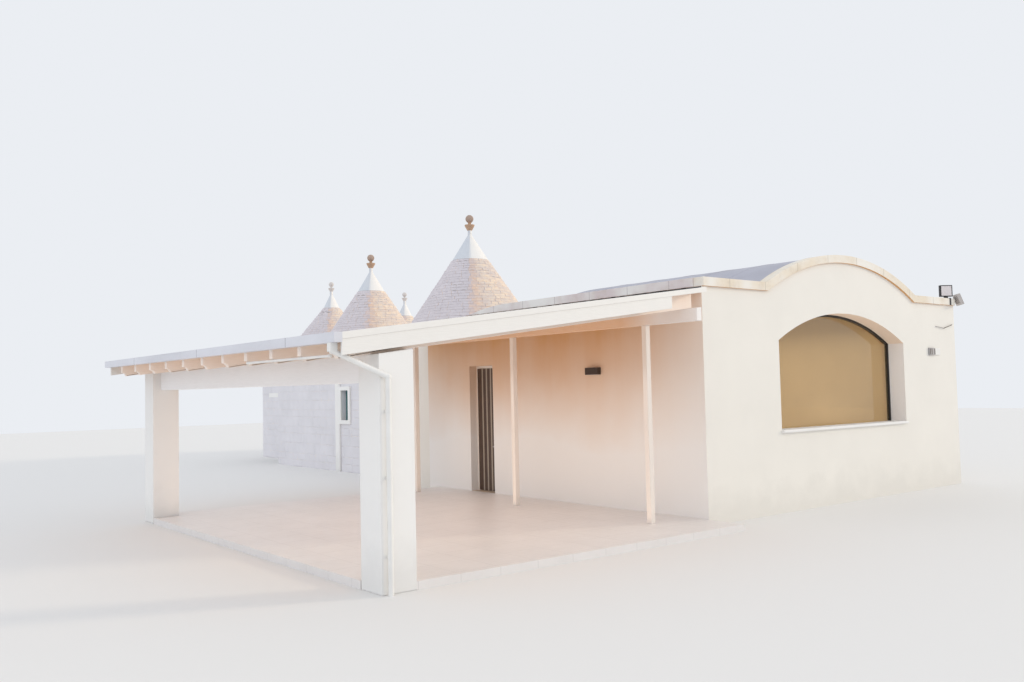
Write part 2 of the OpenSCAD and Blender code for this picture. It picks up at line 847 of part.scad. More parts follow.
module stone_cone_1() { stone_cone(0); }
module stone_cone_2() { stone_cone(1); }
module stone_cone_3() { stone_cone(2); }
module stone_cone_4() { stone_cone(3); }

module cone_tips() {
    for (i = [0:3]) color("white")
        translate([cone_center_x[i], cone_center_y[i], trullo_h + cone_h[i]]) {
            cylinder(h = tip_h[i], r1 = tip_r[i], r2 = neck_r);
            translate([0, 0, tip_h[i]]) cylinder(h = neck_h, r = neck_r);
        }
}

// Profile of a pinnacle whose ball has radius r: a flared dish, a short stem and the ball
module pinnacle_outline(r) {
    polygon([[0, 0], [0.6 * r, 0], [1.2 * r, 1.1 * r], [1.25 * r, 1.4 * r],
        [0.4 * r, 1.5 * r], [0.4 * r, 2.2 * r], [0, 2.2 * r]]);
    intersection() {
        translate([0, 2.9 * r]) circle(r);
        translate([0, 1.5 * r]) square([2 * r, 3 * r]);
    }
}

module pinnacles() {
    for (i = [0:3]) color("peru")
        translate([cone_center_x[i], cone_center_y[i], trullo_h + cone_h[i] + tip_h[i] + neck_h])
            rotate_extrude() pinnacle_outline(pinnacle_r[i]);
}

module trullo_floors() {
    for (i = [0:3]) color("tan") translate([cone_center_x[i], cone_center_y[i], 0])
        cylinder(h = floor_h, r = room_r[i]);
}

// A pane's space inside the small window's frame, as deep as depth
module small_pane(depth) {
    cube([depth, small_window_w - 2 * small_frame_w, small_window_d - 2 * small_frame_w]);
}

module small_window_frame() {
    color("cadetblue") translate([trullo_x + small_reveal, window_2_y, small_window_h])
        difference() {
            cube([small_frame_d, small_window_w, small_window_d]);
            translate([-cut, small_frame_w, small_frame_w]) small_pane(small_frame_d + 2 * cut);
        }
}

module small_window_glass() {
    inset = (small_frame_d - glass_t) / 2;
    color("lightsteelblue") translate([trullo_x + small_reveal + inset,
        window_2_y + small_frame_w, small_window_h + small_frame_w]) small_pane(glass_t);
}

// The raised surround of the small window and the band that stands beside it
module white_trim() {
    color("white") translate([trullo_x - trim_t, window_2_y - surround_w,
        small_window_h - surround_w]) difference() {
        cube([trim_t, small_window_w + 2 * surround_w, small_window_d + 2 * surround_w]);
        translate([-cut, surround_w, surround_w])
            cube([trim_t + 2 * cut, small_window_w, small_window_d]);
    }
    color("white") translate([trullo_x - trim_t, block_y0[1] + band_in, 0])
        cube([trim_t, band_w, band_h]);
}

module trullo_door_frame() {
    color("cadetblue") hinged_frame(trullo_door_x, trullo_door_y, trullo_door_w, trullo_door_h);
}

module trullo_door_leaf() {
    color("cadetblue") hinged_leaf(trullo_door_x, trullo_door_y, trullo_door_w, trullo_door_h);
}

module door_canopy() {
    color("white") translate([block_x0[2] - canopy_out, trullo_door_y + (trullo_door_w - canopy_w) / 2,
        trullo_door_h + canopy_up]) cube([canopy_out, canopy_w, canopy_t]);
}

front_gable_wall();
gable_coping();
side_kerbs();
left_wall_front();
left_wall_rear();
left_wall_lintel();
right_wall();
rear_wall();
barrel_vault();
vault_membrane();
vault_end_wall();
link_roof();
wing_floor();
window_frame();
window_glass();
window_sill();
door_frame();
door_leaf();
wall_light();
floodlights();
porch_floor();
porch_pillars();
outer_beam();
inner_beam();
slender_posts();
rafters();
barge_boards();
porch_deck();
porch_membrane();
gutter();
downpipe();
trullo_walls_1();
trullo_walls_2();
trullo_walls_3();
trullo_walls_4();
stone_cone_1();
stone_cone_2();
stone_cone_3();
stone_cone_4();
cone_tips();
pinnacles();
trullo_floors();
small_window_frame();
small_window_glass();
white_trim();
trullo_door_frame();
trullo_door_leaf();
door_canopy();
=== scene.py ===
import math
import random

import bmesh
import bpy
from mathutils import Matrix, Vector


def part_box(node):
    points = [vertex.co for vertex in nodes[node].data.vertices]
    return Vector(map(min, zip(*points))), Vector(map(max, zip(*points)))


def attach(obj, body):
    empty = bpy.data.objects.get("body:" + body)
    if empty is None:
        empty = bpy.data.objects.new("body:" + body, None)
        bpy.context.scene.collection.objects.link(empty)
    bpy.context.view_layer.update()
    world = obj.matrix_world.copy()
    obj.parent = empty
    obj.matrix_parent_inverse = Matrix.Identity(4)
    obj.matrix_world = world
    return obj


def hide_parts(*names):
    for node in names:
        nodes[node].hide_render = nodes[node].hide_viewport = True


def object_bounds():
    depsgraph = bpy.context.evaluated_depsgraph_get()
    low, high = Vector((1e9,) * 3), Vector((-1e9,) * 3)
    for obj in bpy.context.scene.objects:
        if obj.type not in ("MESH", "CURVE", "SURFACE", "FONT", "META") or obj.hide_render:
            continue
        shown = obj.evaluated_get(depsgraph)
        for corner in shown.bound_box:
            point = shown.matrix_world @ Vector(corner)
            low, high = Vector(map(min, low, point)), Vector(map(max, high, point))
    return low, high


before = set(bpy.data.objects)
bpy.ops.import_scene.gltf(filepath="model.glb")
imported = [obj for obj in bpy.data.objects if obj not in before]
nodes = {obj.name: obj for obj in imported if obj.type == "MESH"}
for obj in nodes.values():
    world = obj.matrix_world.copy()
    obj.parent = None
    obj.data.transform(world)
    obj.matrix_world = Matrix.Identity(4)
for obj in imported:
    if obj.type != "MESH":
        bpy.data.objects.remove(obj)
cad_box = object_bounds()
HOUSE = "house"
TRULLI = (1, 2, 3, 4)

# Linear colours
WHITE = (0.87, 0.86, 0.845)
# The cone tips' limewash in painted shade and in painted sunlight
TIP_SHADE = (0.61, 0.645, 0.70)
TIP_LIT = (0.90, 0.875, 0.84)
WARM_RENDER = (0.855, 0.825, 0.77)
# The window jamb's render, painted lighter to stand in for the light in the reveal
JAMB_PAINTED_LIGHT = (0.93, 0.875, 0.83)
# Warm bounce light painted on the faces that look down, under the window's arch
ARCH_BOUNCE_LIGHT = (0.95, 0.77, 0.62)
SIDE_LOW = (0.86, 0.845, 0.83)
# The peach of warm bounce light, painted on the side wall towards the porch roof
SIDE_BOUNCE_LIGHT = (0.70, 0.395, 0.18)
LIMEWASH = (0.77, 0.755, 0.79)
COPING = (0.805, 0.715, 0.59)
# The coping's stone on the side kerbs, painted darker as their shade
KERB_STONE_SHADED = (0.71, 0.61, 0.59)
COPING_STAIN = (0.56, 0.46, 0.35)
# Warm bounce light painted on the undersides of the coping and kerbs
UNDERSIDE_BOUNCE_LIGHT = (0.66, 0.36, 0.15)
MEMBRANE = (0.415, 0.415, 0.475)
# Near-black for the painted shadow line under the side kerb, shaped as bitumen
TAR_SHADOW_BLACK = (0.030, 0.027, 0.028)
TILE = (0.80, 0.775, 0.765)
ROOM_TILE = (0.60, 0.50, 0.40)
# Pale and grey stone; on the cones the pale is painted sunlight and the grey painted shade
STONE_PALE_AND_SUNLIT = (0.95, 0.78, 0.60)
STONE_GREY_AND_SHADED = (0.70, 0.655, 0.69)
# On the cones: the orange of the painted terminator, and flecks painted dark in the shade
STONE_PAINTED_TERMINATOR = (0.84, 0.58, 0.43)
STONE_MARK_SHADED = (0.40, 0.36, 0.42)
# Dark stone for joints, also the painted shaded tone of the bed between the cone's slabs
STONE_DARK = (0.36, 0.32, 0.31)
# The cones' flecks painted orange in the sun
LICHEN_SUNLIT = (0.72, 0.40, 0.22)
PAINTED_WOOD = (0.86, 0.84, 0.81)
OUTER_BEAM_WOOD = (0.93, 0.93, 0.94)
# White posts and door frame, tinted peach as painted warm bounce light under the porch
POST_BOUNCE_TINT = (0.87, 0.80, 0.74)
TAIL_WOOD = (0.95, 0.83, 0.74)
# The porch roof's white boards, painted peach with warm bounce light from below
SOFFIT_BOUNCE_LIGHT = (0.92, 0.68, 0.50)
# The inner beam's white timber, painted peach with the warm bounce light under the porch roof
INNER_BEAM_BOUNCE_LIGHT = (0.81, 0.54, 0.35)
BEAM_END_WOOD = (0.85, 0.82, 0.81)
DOOR_BROWN = (0.058, 0.036, 0.026)
DOOR_PALE = (0.38, 0.32, 0.26)
GUTTER = (0.69, 0.695, 0.75)
PIPE = (0.86, 0.85, 0.83)
DARK_METAL = (0.030, 0.027, 0.027)
FITTING_BROWN = (0.060, 0.040, 0.030)
FITTING_GREY = (0.38, 0.37, 0.38)
# The corner floodlight in a pale grey that paints the sunlight on it
FITTING_PALE_SUNLIT = (0.50, 0.46, 0.44)
CLAY = (0.56, 0.37, 0.25)
CLAY_GREY = (0.50, 0.37, 0.30)
CLAY_WASHED = (0.66, 0.62, 0.60)
TEAL = (0.07, 0.19, 0.20)
BRONZE_GLASS = (0.775, 0.62, 0.375)
SHAFT_GLASS = (0.10, 0.24, 0.24)
LAMP_GLASS = (0.82, 0.76, 0.76)
STEEL = (0.55, 0.54, 0.52)
FLOOR_COLOUR = (0.78, 0.77, 0.76)

# The side that faces the low sun, as a direction in plan: faces turned to it get painted sunlight, the
# others painted shade
SUNNY = (0.80, -0.60, 0.0)
UP = (0, 0, 1)

# Stretch of a noise pattern that makes the grain of timber along Y, along X and upright
ALONG = (12, 0.6, 12)
ACROSS = (0.6, 12, 12)
UPRIGHT = (12, 12, 0.6)
# Stretch of the waves in sheet metal that runs along Y
LENGTHWISE = (1, 0.3, 1)

# Sockets of the Mix node that take and give colours
MIX_A = 6
MIX_B = 7
MIX_RESULT = 2
# Whole pitches that keep the places of joints above zero
PITCHES_AHEAD = 50.0
GLASS_IOR = 1.5

# Tolerance for a point on a face, in metres
ON_FACE = 0.001


def shade(colour, factor):
    """A colour times a factor: darker below 1, lighter above it."""
    return tuple(channel * factor for channel in colour)


def points_of(node):
    return [v.co for v in nodes[node].data.vertices]


def add_object(name, data):
    thing = bpy.data.objects.new(name, data)
    bpy.context.scene.collection.objects.link(thing)
    return thing


class Look:
    """A procedural material: its node tree, with short ways to add textures in object space.

    ramp turns a range of values into another; mix goes from its first colour to its second.
    """

    def __init__(self, name, colour, rough, metallic=0.0):
        self.mat = bpy.data.materials.new(name)
        self.mat.use_nodes = True
        self.nodes = self.mat.node_tree.nodes
        self.links = self.mat.node_tree.links
        self.shader = self.nodes["Principled BSDF"]
        self.shader.inputs["Base Color"].default_value = (*colour, 1)
        self.shader.inputs["Roughness"].default_value = rough
        self.shader.inputs["Metallic"].default_value = metallic
        self.place = self.add("ShaderNodeTexCoord").outputs["Object"]
        self.normal = None

    def add(self, kind, **values):
        node = self.nodes.new(kind)
        for key, value in values.items():
            setattr(node, key, value)
        return node

    def link(self, source, socket):
        self.links.new(source, socket)

    def stretched(self, scale):
        node = self.add("ShaderNodeMapping")
        node.inputs["Scale"].default_value = scale
        self.link(self.place, node.inputs["Vector"])
        return node.outputs["Vector"]

    def noise(self, scale, detail=4.0, rough=0.55, stretch=None):
        node = self.add("ShaderNodeTexNoise")
        node.inputs["Scale"].default_value = scale
        node.inputs["Detail"].default_value = detail
        node.inputs["Roughness"].default_value = rough
        self.link(self.stretched(stretch) if stretch else self.place, node.inputs["Vector"])
        return node.outputs["Fac"]

    def cells(self, scale, feature="F1", stretch=None):
        node = self.add("ShaderNodeTexVoronoi", feature=feature)
        node.inputs["Scale"].default_value = scale
        self.link(self.stretched(stretch) if stretch else self.place, node.inputs["Vector"])
        return node.outputs["Distance"]

    def ramp(self, source, low, high, start=0.0, end=1.0):
        node = self.add("ShaderNodeMapRange")
        node.inputs["From Min"].default_value = low
        node.inputs["From Max"].default_value = high
        node.inputs["To Min"].default_value = start
        node.inputs["To Max"].default_value = end
        self.link(source, node.inputs["Value"])
        return node.outputs["Result"]

    def patches(self, *noise, span=(0.3, 0.7), start=0.0, end=1.0):
        """Soft patches: noise whose values over the span go from start to end."""
        return self.ramp(self.noise(*noise), *span, start, end)

    def maths(self, operation, a, b):
        node = self.add("ShaderNodeMath", operation=operation)
        for socket, value in zip(node.inputs, (a, b)):
            if isinstance(value, (int, float)):
                socket.default_value = value
            else:
                self.link(value, socket)
        return node.outputs["Value"]

    def mix(self, factor, a, b):
        node = self.add("ShaderNodeMix", data_type="RGBA")
        self.link(factor, node.inputs["Factor"])
        for socket, value in ((node.inputs[MIX_A], a), (node.inputs[MIX_B], b)):
            if isinstance(value, tuple):
                socket.default_value = (*value, 1)
            else:
                self.link(value, socket)
        return node.outputs[MIX_RESULT]

    def axis(self, name):
        node = self.add("ShaderNodeSeparateXYZ")
        self.link(self.place, node.inputs["Vector"])
        return node.outputs[name]

    def beyond(self, name, place, blur, before=0.0, after=1.0):
        """One value before a place along an axis and another beyond it."""
        return self.ramp(self.axis(name), place - blur, place + blur, before, after)

    def facing(self, direction):
        """How far the surface faces a direction in the scene: 1 when squarely."""
        node = self.add("ShaderNodeVectorMath", operation="DOT_PRODUCT")
        node.inputs[1].default_value = direction
        self.link(self.add("ShaderNodeNewGeometry").outputs["Normal"], node.inputs[0])
        return node.outputs["Value"]

    def joints(self, axis, pitch, width, shift=0.0):
        """0 in the joints that cross an axis at a regular pitch, 1 between them."""
        place = self.maths("ADD", self.axis(axis), PITCHES_AHEAD * pitch + shift)
        part = self.maths("FRACT", self.maths("DIVIDE", place, pitch), 0.0)
        edge = self.maths("MINIMUM", part, self.maths("SUBTRACT", 1.0, part))
        return self.ramp(edge, 0.5 * width / pitch, width / pitch)

    def colour(self, source):
        self.link(source, self.shader.inputs["Base Color"])
        return self

    def rough(self, source):
        self.link(source, self.shader.inputs["Roughness"])
        return self

    def bump(self, source, strength, distance):
        """Relief from a pattern, on top of what is there: its strength and height in metres."""
        node = self.add("ShaderNodeBump")
        node.inputs["Strength"].default_value = strength
        node.inputs["Distance"].default_value = distance
        self.link(source, node.inputs["Height"])
        if self.normal:
            self.link(self.normal, node.inputs["Normal"])
        self.normal = node.outputs["Normal"]
        self.link(self.normal, self.shader.inputs["Normal"])
        return self


def trowelled(look):
    """The relief of hand-trowelled lime render: soft waves under a sandy grain."""
    look.bump(look.noise(3.0, 3), 0.22, 0.012)
    return look.bump(look.noise(140, 2), 0.16, 0.0012)


def render_tone(look, colour):
    """Faint clouds over the whole wall and splash stains low down."""
    tone = look.mix(look.patches(0.9, 5, span=(0.35, 0.7)), shade(colour, 0.965), colour)
    splash = look.ramp(look.maths("SUBTRACT", look.axis("Z"), look.noise(2.2, 4)), -0.4, 0.15)
    return look.mix(splash, shade(colour, 0.90), tone)


# Heights over which the side wall's painted warm bounce light grows, and Y over which it comes in and
# fades
BOUNCE_HEIGHTS = (1.7, 3.9)
BOUNCE_NEAR = (-0.3, 2.2)
BOUNCE_FAR = (5.5, 8.0)


def side_tone(look):
    """A peach glow of warm bounce light, painted so that it grows towards the porch roof, with pale runs
    down it.
    """
    height = look.ramp(look.maths("ADD", look.axis("Z"), look.noise(0.6, 3)), *BOUNCE_HEIGHTS)
    near = look.ramp(look.axis("Y"), *BOUNCE_NEAR, 0.25, 1.0)
    far = look.ramp(look.axis("Y"), *BOUNCE_FAR, 1.0, 0.92)
    # Painted light: how strongly the warm bounce glow is painted at each place
    painted_bounce = look.maths("MULTIPLY", height, look.maths("MULTIPLY", near, far))
    tone = look.mix(painted_bounce, SIDE_LOW, SIDE_BOUNCE_LIGHT)
    runs = look.patches(1.0, 4, 0.6, (1, 2.2, 0.25), span=(0.35, 0.7), end=0.12)
    return look.mix(runs, tone, WHITE)


def render_look(name, colour):
    look = Look(name, colour, 0.85)
    look.colour(render_tone(look, colour))
    return trowelled(look)


def gable_look():
    """The gable with painted light: its window jamb painted lighter, warm bounce light painted under the
    arch, and the side wall's painted bounce light at the corner.
    """
    look = Look("lime_render", WARM_RENDER, 0.85)
    faces_left = look.ramp(look.facing((-1, 0, 0)), 0.5, 0.9)
    # Painted light: inside the window the left-facing jamb is painted lighter, elsewhere left-facing faces
    # get the side wall's painted bounce light
    in_window = look.ramp(look.axis("X"), 0.5, 1.0)
    turned = look.mix(in_window, side_tone(look), JAMB_PAINTED_LIGHT)
    tone = look.mix(faces_left, render_tone(look, WARM_RENDER), turned)
    # Painted light: faces that look down get the warm bounce light
    look.colour(look.mix(look.ramp(look.facing(UP), -0.75, -0.1), ARCH_BOUNCE_LIGHT, tone))
    return trowelled(look)


def side_wall_look():
    """Painted warm bounce light on the face under the porch, plain render on the wall's top."""
    look = Look("side_wall_render", SIDE_LOW, 0.85)
    look.colour(look.mix(look.ramp(look.facing(UP), 0.4, 0.8), side_tone(look), WARM_RENDER))
    return trowelled(look)


def tip_look():
    """Limewashed plaster with painted light: a warm lit tone on the side facing the sun, a cool painted
    shade on the other side.
    """
    look = Look("cone_tip", WHITE, 0.8)
    # Painted light: faces turned to the sun get the lit tone, the others the shaded tone
    sunny = look.ramp(look.facing(SUNNY), -0.08, 0.10)
    tone = look.mix(sunny, TIP_SHADE, TIP_LIT)
    worn = look.patches(3.0, 5, span=(0.35, 0.75), end=0.25)
    look.colour(look.mix(worn, tone, shade(WHITE, 0.9)))
    return trowelled(look)


def limewash_look():
    """Rough masonry under many coats of limewash; flat tops show worn flagstones."""
    look = Look("limewash", LIMEWASH, 0.9)
    tone = look.mix(look.patches(1.6, 5), shade(LIMEWASH, 0.92), LIMEWASH)
    worn = look.patches(7.0, 6, 0.7, span=(0.60, 0.72), end=0.35)
    wall = look.mix(worn, tone, STONE_PALE_AND_SUNLIT)
    joints = look.ramp(look.cells(2.4, "DISTANCE_TO_EDGE"), 0.0, 0.06)
    flag = look.mix(look.patches(2.6, 5), STONE_GREY_AND_SHADED, STONE_PALE_AND_SUNLIT)
    top = look.mix(joints, STONE_DARK, flag)
    look.colour(look.mix(look.ramp(look.facing(UP), 0.6, 0.85), wall, top))
    look.bump(look.noise(9, 4, 0.6), 0.35, 0.010)
    return look.bump(look.noise(34, 5, 0.65), 0.4, 0.004)


def coping_look(name, colour, axis):
    """Sawn limestone slabs with fine joints and stains in patches; their undersides get painted warm
    bounce light.
    """
    look = Look(name, colour, 0.8)
    gap = look.joints(axis, pitch=0.98, width=0.006, shift=0.3)
    stain = look.patches(5.0, 6, 0.7, span=(0.50, 0.80), end=0.7)
    body = look.mix(stain, colour, COPING_STAIN)
    pale = look.mix(look.patches(1.1, 3, span=(0.38, 0.62)), body, WARM_RENDER)
    tone = look.mix(gap, shade(colour, 0.62), pale)
    # Painted light: faces that look down get the orange of warm bounce light
    look.colour(look.mix(look.ramp(look.facing(UP), -0.9, -0.4), UNDERSIDE_BOUNCE_LIGHT, tone))
    look.bump(gap, 0.6, 0.005)
    return look.bump(look.noise(60, 5, 0.7), 0.35, 0.003)


def membrane_look():
    """Mineral-faced bitumen sheet, sun-bleached in patches."""
    look = Look("roof_membrane", MEMBRANE, 0.75)
    bleached = look.patches(0.8, 5, 0.6, span=(0.35, 0.7))
    tone = look.mix(bleached, shade(MEMBRANE, 0.9), shade(MEMBRANE, 1.2))
    look.colour(look.mix(look.patches(230, 2, span=(0.4, 0.6)), tone, shade(MEMBRANE, 1.1)))
    look.bump(look.noise(420, 2), 0.3, 0.0015)
    return look.bump(look.noise(1.7, 3), 0.3, 0.02)


def tar_shadow_look():
    """Black bitumen, brushed on by hand, here as a painted shadow line under the kerb."""
    look = Look("bitumen_shadow_edge", TAR_SHADOW_BLACK, 0.6)
    look.colour(look.mix(look.patches(12, 5), TAR_SHADOW_BLACK, shade(TAR_SHADOW_BLACK, 2.4)))
    return look.bump(look.noise(30, 5), 0.5, 0.003)


TILE_JOINT = 0.004


def tile_look(name, colour, size):
    """Square floor tiles with narrow joints and a soft sheen."""
    look = Look(name, colour, 0.38)
    gap = look.maths("MULTIPLY", look.joints("X", size, TILE_JOINT), look.joints("Y", size, TILE_JOINT))
    tone = look.mix(look.patches(1.4, 5), shade(colour, 0.94), colour)
    look.colour(look.mix(gap, shade(colour, 0.78), tone))
    look.rough(look.patches(9, 4, start=0.32, end=0.5))
    return look.bump(gap, 0.5, 0.002)


def stone_look(name, light, grey):
    """Limestone slabs, each with its tone, and painted light: light is painted sunlight in cream on the
    side facing the sun, grey is painted shade away from it, an orange painted terminator lies between, and
    marks are painted dark in the shade and orange in the sun.
    """
    look = Look(name, light, 0.92)
    turned = look.facing(SUNNY)
    # Painted light: the sun side takes the lit tone, the far side the grey as painted shade, with the
    # orange painted terminator between them
    sunny = look.ramp(turned, -0.06, 0.08)
    each = look.ramp(look.cells(3.4, "F1", (1, 1, 3.9)), 0.1, 0.65)
    body = look.mix(sunny, grey, look.mix(look.ramp(turned, 0.0, 0.32), STONE_PAINTED_TERMINATOR, light))
    body = look.mix(look.maths("MULTIPLY", each, 0.5), body, shade(grey, 0.86))
    weather = look.patches(1.3, 6, 0.7, span=(0.45, 0.70), end=0.35)
    body = look.mix(weather, body, shade(grey, 0.85))
    # The flecks are marks on the stone, painted dark on the shaded side and orange on the sunlit side
    flecks = look.patches(13, 6, 0.75, (1, 1, 2.2), span=(0.54, 0.66), end=0.65)
    look.colour(look.mix(flecks, body, look.mix(sunny, STONE_MARK_SHADED, LICHEN_SUNLIT)))
    look.bump(look.noise(22, 6, 0.7), 0.5, 0.006)
    return look.bump(look.noise(120, 3), 0.3, 0.002)


def wood_look(name, colour, grain, rough=0.5):
    """Planed timber under paint: the grain shows as fine ridges along one axis."""
    look = Look(name, colour, rough)
    lines = look.noise(9, 6, 0.6, grain)
    look.colour(look.mix(look.ramp(lines, 0.35, 0.75), shade(colour, 0.95), colour))
    look.rough(look.patches(6, 4, start=rough - 0.08, end=rough + 0.12))
    return look.bump(lines, 0.35, 0.0025)


def inner_beam_look():
    """White timber with painted light: warm bounce light painted peach where it runs under the roof, its
    own white at the end that shows in the open.
    """
    look = Look("inner_beam_timber", INNER_BEAM_BOUNCE_LIGHT, 0.5)
    lines = look.noise(9, 6, 0.6, ALONG)
    # Painted light: the peach bounce light fades out towards the beam's open end
    tone = look.mix(look.ramp(look.axis("Y"), 0.05, 0.9), BEAM_END_WOOD, INNER_BEAM_BOUNCE_LIGHT)
    look.colour(look.mix(look.ramp(lines, 0.35, 0.75, 0.0, 0.2), tone, PAINTED_WOOD))
    look.rough(look.patches(6, 4, start=0.42, end=0.62))
    return look.bump(lines, 0.35, 0.0025)


# X between the two floodlights
LAMP_SPLIT_X = 8.45


def lamp_look():
    """Cast housings: the one above the wall black, the one on the corner pale grey as painted sunlight."""
    look = Look("lamp_housing", DARK_METAL, 0.5, 0.1)
    tone = look.mix(look.beyond("X", LAMP_SPLIT_X, 0.01), DARK_METAL, FITTING_PALE_SUNLIT)
    look.colour(look.mix(look.patches(9, 4, end=0.12), tone, FITTING_GREY))
    look.rough(look.patches(14, 4, start=0.42, end=0.58))
    return look.bump(look.noise(220, 3), 0.2, 0.001)


def metal_look(name, colour, rough, metallic):
    """Painted or brushed metal, a little uneven in tone and gloss."""
    look = Look(name, colour, rough, metallic)
    look.colour(look.mix(look.patches(2.5, 5), shade(colour, 0.9), colour))
    look.rough(look.patches(14, 4, start=rough - 0.08, end=rough + 0.1))
    return look.bump(look.noise(1.8, 3), 0.12, 0.004)


def gutter_look():
    """Painted sheet gutter with a dark line where two lengths are joined."""
    look = Look("gutter_metal", GUTTER, 0.42, 0.1)
    tone = look.mix(look.patches(2.5, 5, 0.55, LENGTHWISE), shade(GUTTER, 0.9), shade(GUTTER, 1.05))
    joint = look.joints("Y", pitch=3.0, width=0.008, shift=-0.5)
    look.colour(look.mix(joint, shade(GUTTER, 0.4), tone))
    look.rough(look.patches(14, 4, start=0.34, end=0.52))
    look.bump(joint, 0.6, 0.003)
    return look.bump(look.noise(1.8, 3, 0.55, LENGTHWISE), 0.15, 0.005)


# Y between the first and second pinnacle, and between that and the far ones
SECOND_Y = 13.4
FAR_Y = 17.2
BALL_TALL = 0.212


def ball_foot(near, far):
    """Height of the foot of the highest ball between two Y."""
    return max(p.z for p in points_of("pinnacles") if near < p.y < far) - BALL_TALL


def clay_look():
    """Clay dishes under grey-brown balls; the two small far pinnacles are limewashed."""
    look = Look("terracotta", CLAY, 0.85)
    dish = look.mix(look.patches(6, 4), shade(CLAY, 0.8), CLAY)
    ball = look.mix(look.patches(5, 5, 0.7), shade(CLAY_GREY, 0.75), CLAY_GREY)
    first = ball_foot(0.0, SECOND_Y)
    second = ball_foot(SECOND_Y, FAR_Y)
    foot = look.beyond("Y", SECOND_Y, 0.1, first, second)
    above = look.ramp(look.maths("SUBTRACT", look.axis("Z"), foot), -0.004, 0.004)
    far = look.beyond("Y", FAR_Y, 0.1)
    look.colour(look.mix(far, look.mix(above, dish, ball), CLAY_WASHED))
    return look.bump(look.noise(70, 5, 0.7), 0.4, 0.003)


def glass_look(name, colour, transmission):
    """Flat float glass with faint handling marks in its gloss."""
    look = Look(name, colour, 0.03)
    look.shader.inputs["IOR"].default_value = GLASS_IOR
    look.shader.inputs["Transmission Weight"].default_value = transmission
    look.colour(look.mix(look.patches(1.2, 4), shade(colour, 0.95), colour))
    return look.rough(look.patches(3, 4, span=(0.3, 0.75), start=0.01, end=0.05))


def board_look(name, colour, streak):
    """Dark stained boards with worn streaks along the grain."""
    look = Look(name, colour, 0.55)
    lines = look.noise(7, 6, 0.6, (14, 14, 0.6))
    look.colour(look.mix(look.ramp(lines, 0.35, 0.75), colour, streak))
    return look.bump(lines, 0.4, 0.002)


looks = {
    "gable": gable_look(),
    "render": render_look("plain_render", WARM_RENDER),
    "white_render": render_look("white_render", WHITE),
    "side": side_wall_look(),
    "tip": tip_look(),
    "limewash": limewash_look(),
    "coping": coping_look("coping_stone", COPING, "X"),
    # The side kerbs: the coping's stone, in a darker tone that paints their shade
    "kerb": coping_look("kerb_stone_shaded", KERB_STONE_SHADED, "Y"),
    "membrane": membrane_look(),
    "tar_shadow": tar_shadow_look(),
    "porch_tile": tile_look("porch_tiles", TILE, 0.6),
    "room_tile": tile_look("room_tiles", ROOM_TILE, 0.45),
    # Both stone looks paint sunlight on the side facing the sun and shade on the other
    "stone": stone_look("cone_stone", STONE_PALE_AND_SUNLIT, STONE_GREY_AND_SHADED),
    "bed": stone_look("cone_bed", shade(STONE_GREY_AND_SHADED, 0.8), STONE_DARK),
    "beam": wood_look("white_timber_along", OUTER_BEAM_WOOD, ALONG),
    "rafter": wood_look("white_timber_across", PAINTED_WOOD, ACROSS),
    "post": wood_look("white_timber_up", POST_BOUNCE_TINT, UPRIGHT),
    "tail": wood_look("rafter_timber", TAIL_WOOD, ACROSS),
    # The soffit boards' peach is painted warm bounce light
    "soffit": wood_look("soffit_boards", SOFFIT_BOUNCE_LIGHT, ALONG),
    "inner_beam": inner_beam_look(),
    "door": board_look("door_boards", DOOR_BROWN, shade(DOOR_BROWN, 2.2)),
    "door_strip": wood_look("door_strips", DOOR_PALE, UPRIGHT),
    "teal": wood_look("teal_paint", TEAL, UPRIGHT, 0.42),
    "gutter": gutter_look(),
    "pipe": metal_look("painted_pipe", PIPE, 0.45, 0.0),
    "dark": metal_look("dark_metal", DARK_METAL, 0.45, 0.3),
    "lamp": lamp_look(),
    "brown": metal_look("brown_metal", FITTING_BROWN, 0.5, 0.2),
    "grey": metal_look("grey_metal", FITTING_GREY, 0.45, 0.3),
    "pale_sunlit_metal": metal_look("pale_sunlit_metal", FITTING_PALE_SUNLIT, 0.45, 0.1),
    "steel": metal_look("brushed_steel", STEEL, 0.32, 0.9),
    "clay": clay_look(),
    "glass": glass_look("bronze_glass", BRONZE_GLASS, 0.92),
    "dark_glass": glass_look("shaft_glass", SHAFT_GLASS, 0.1),
    "lamp_glass": glass_look("lamp_glass", LAMP_GLASS, 0.1),
}

NODE_LOOKS = {
    "gable": ["front_gable_wall"],
    "render": ["right_wall", "rear_wall", "vault_end_wall", "barrel_vault"],
    "white_render": ["porch_pillars", "door_canopy", "white_trim", "window_sill"],
    "tip": ["cone_tips"],
    "side": ["left_wall_front", "left_wall_rear", "left_wall_lintel"],
    "limewash": [f"trullo_walls_{i}" for i in TRULLI],
    "coping": ["gable_coping"],
    "kerb": ["side_kerbs"],
    "membrane": ["vault_membrane", "link_roof", "porch_membrane"],
    "porch_tile": ["porch_floor"],
    "room_tile": ["wing_floor", "trullo_floors"],
    "bed": [f"stone_cone_{i}" for i in TRULLI],
    "beam": ["outer_beam"],
    "soffit": ["porch_deck"],
    "inner_beam": ["inner_beam"],
    "rafter": ["barge_boards"],
    "tail": ["rafters"],
    "post": ["slender_posts", "door_frame"],
    "door": ["door_leaf"],
    "teal": ["small_window_frame", "trullo_door_frame", "trullo_door_leaf"],
    "gutter": ["gutter"],
    "pipe": ["downpipe"],
    "dark": ["window_frame"],
    "lamp": ["floodlights"],
    "brown": ["wall_light"],
    "clay": ["pinnacles"],
    "glass": ["window_glass"],
    "dark_glass": ["small_window_glass"],
}

WELD_DISTANCE = 0.0002
SOFT_SEGMENTS = 2
SHARP_ANGLE = math.radians(40)
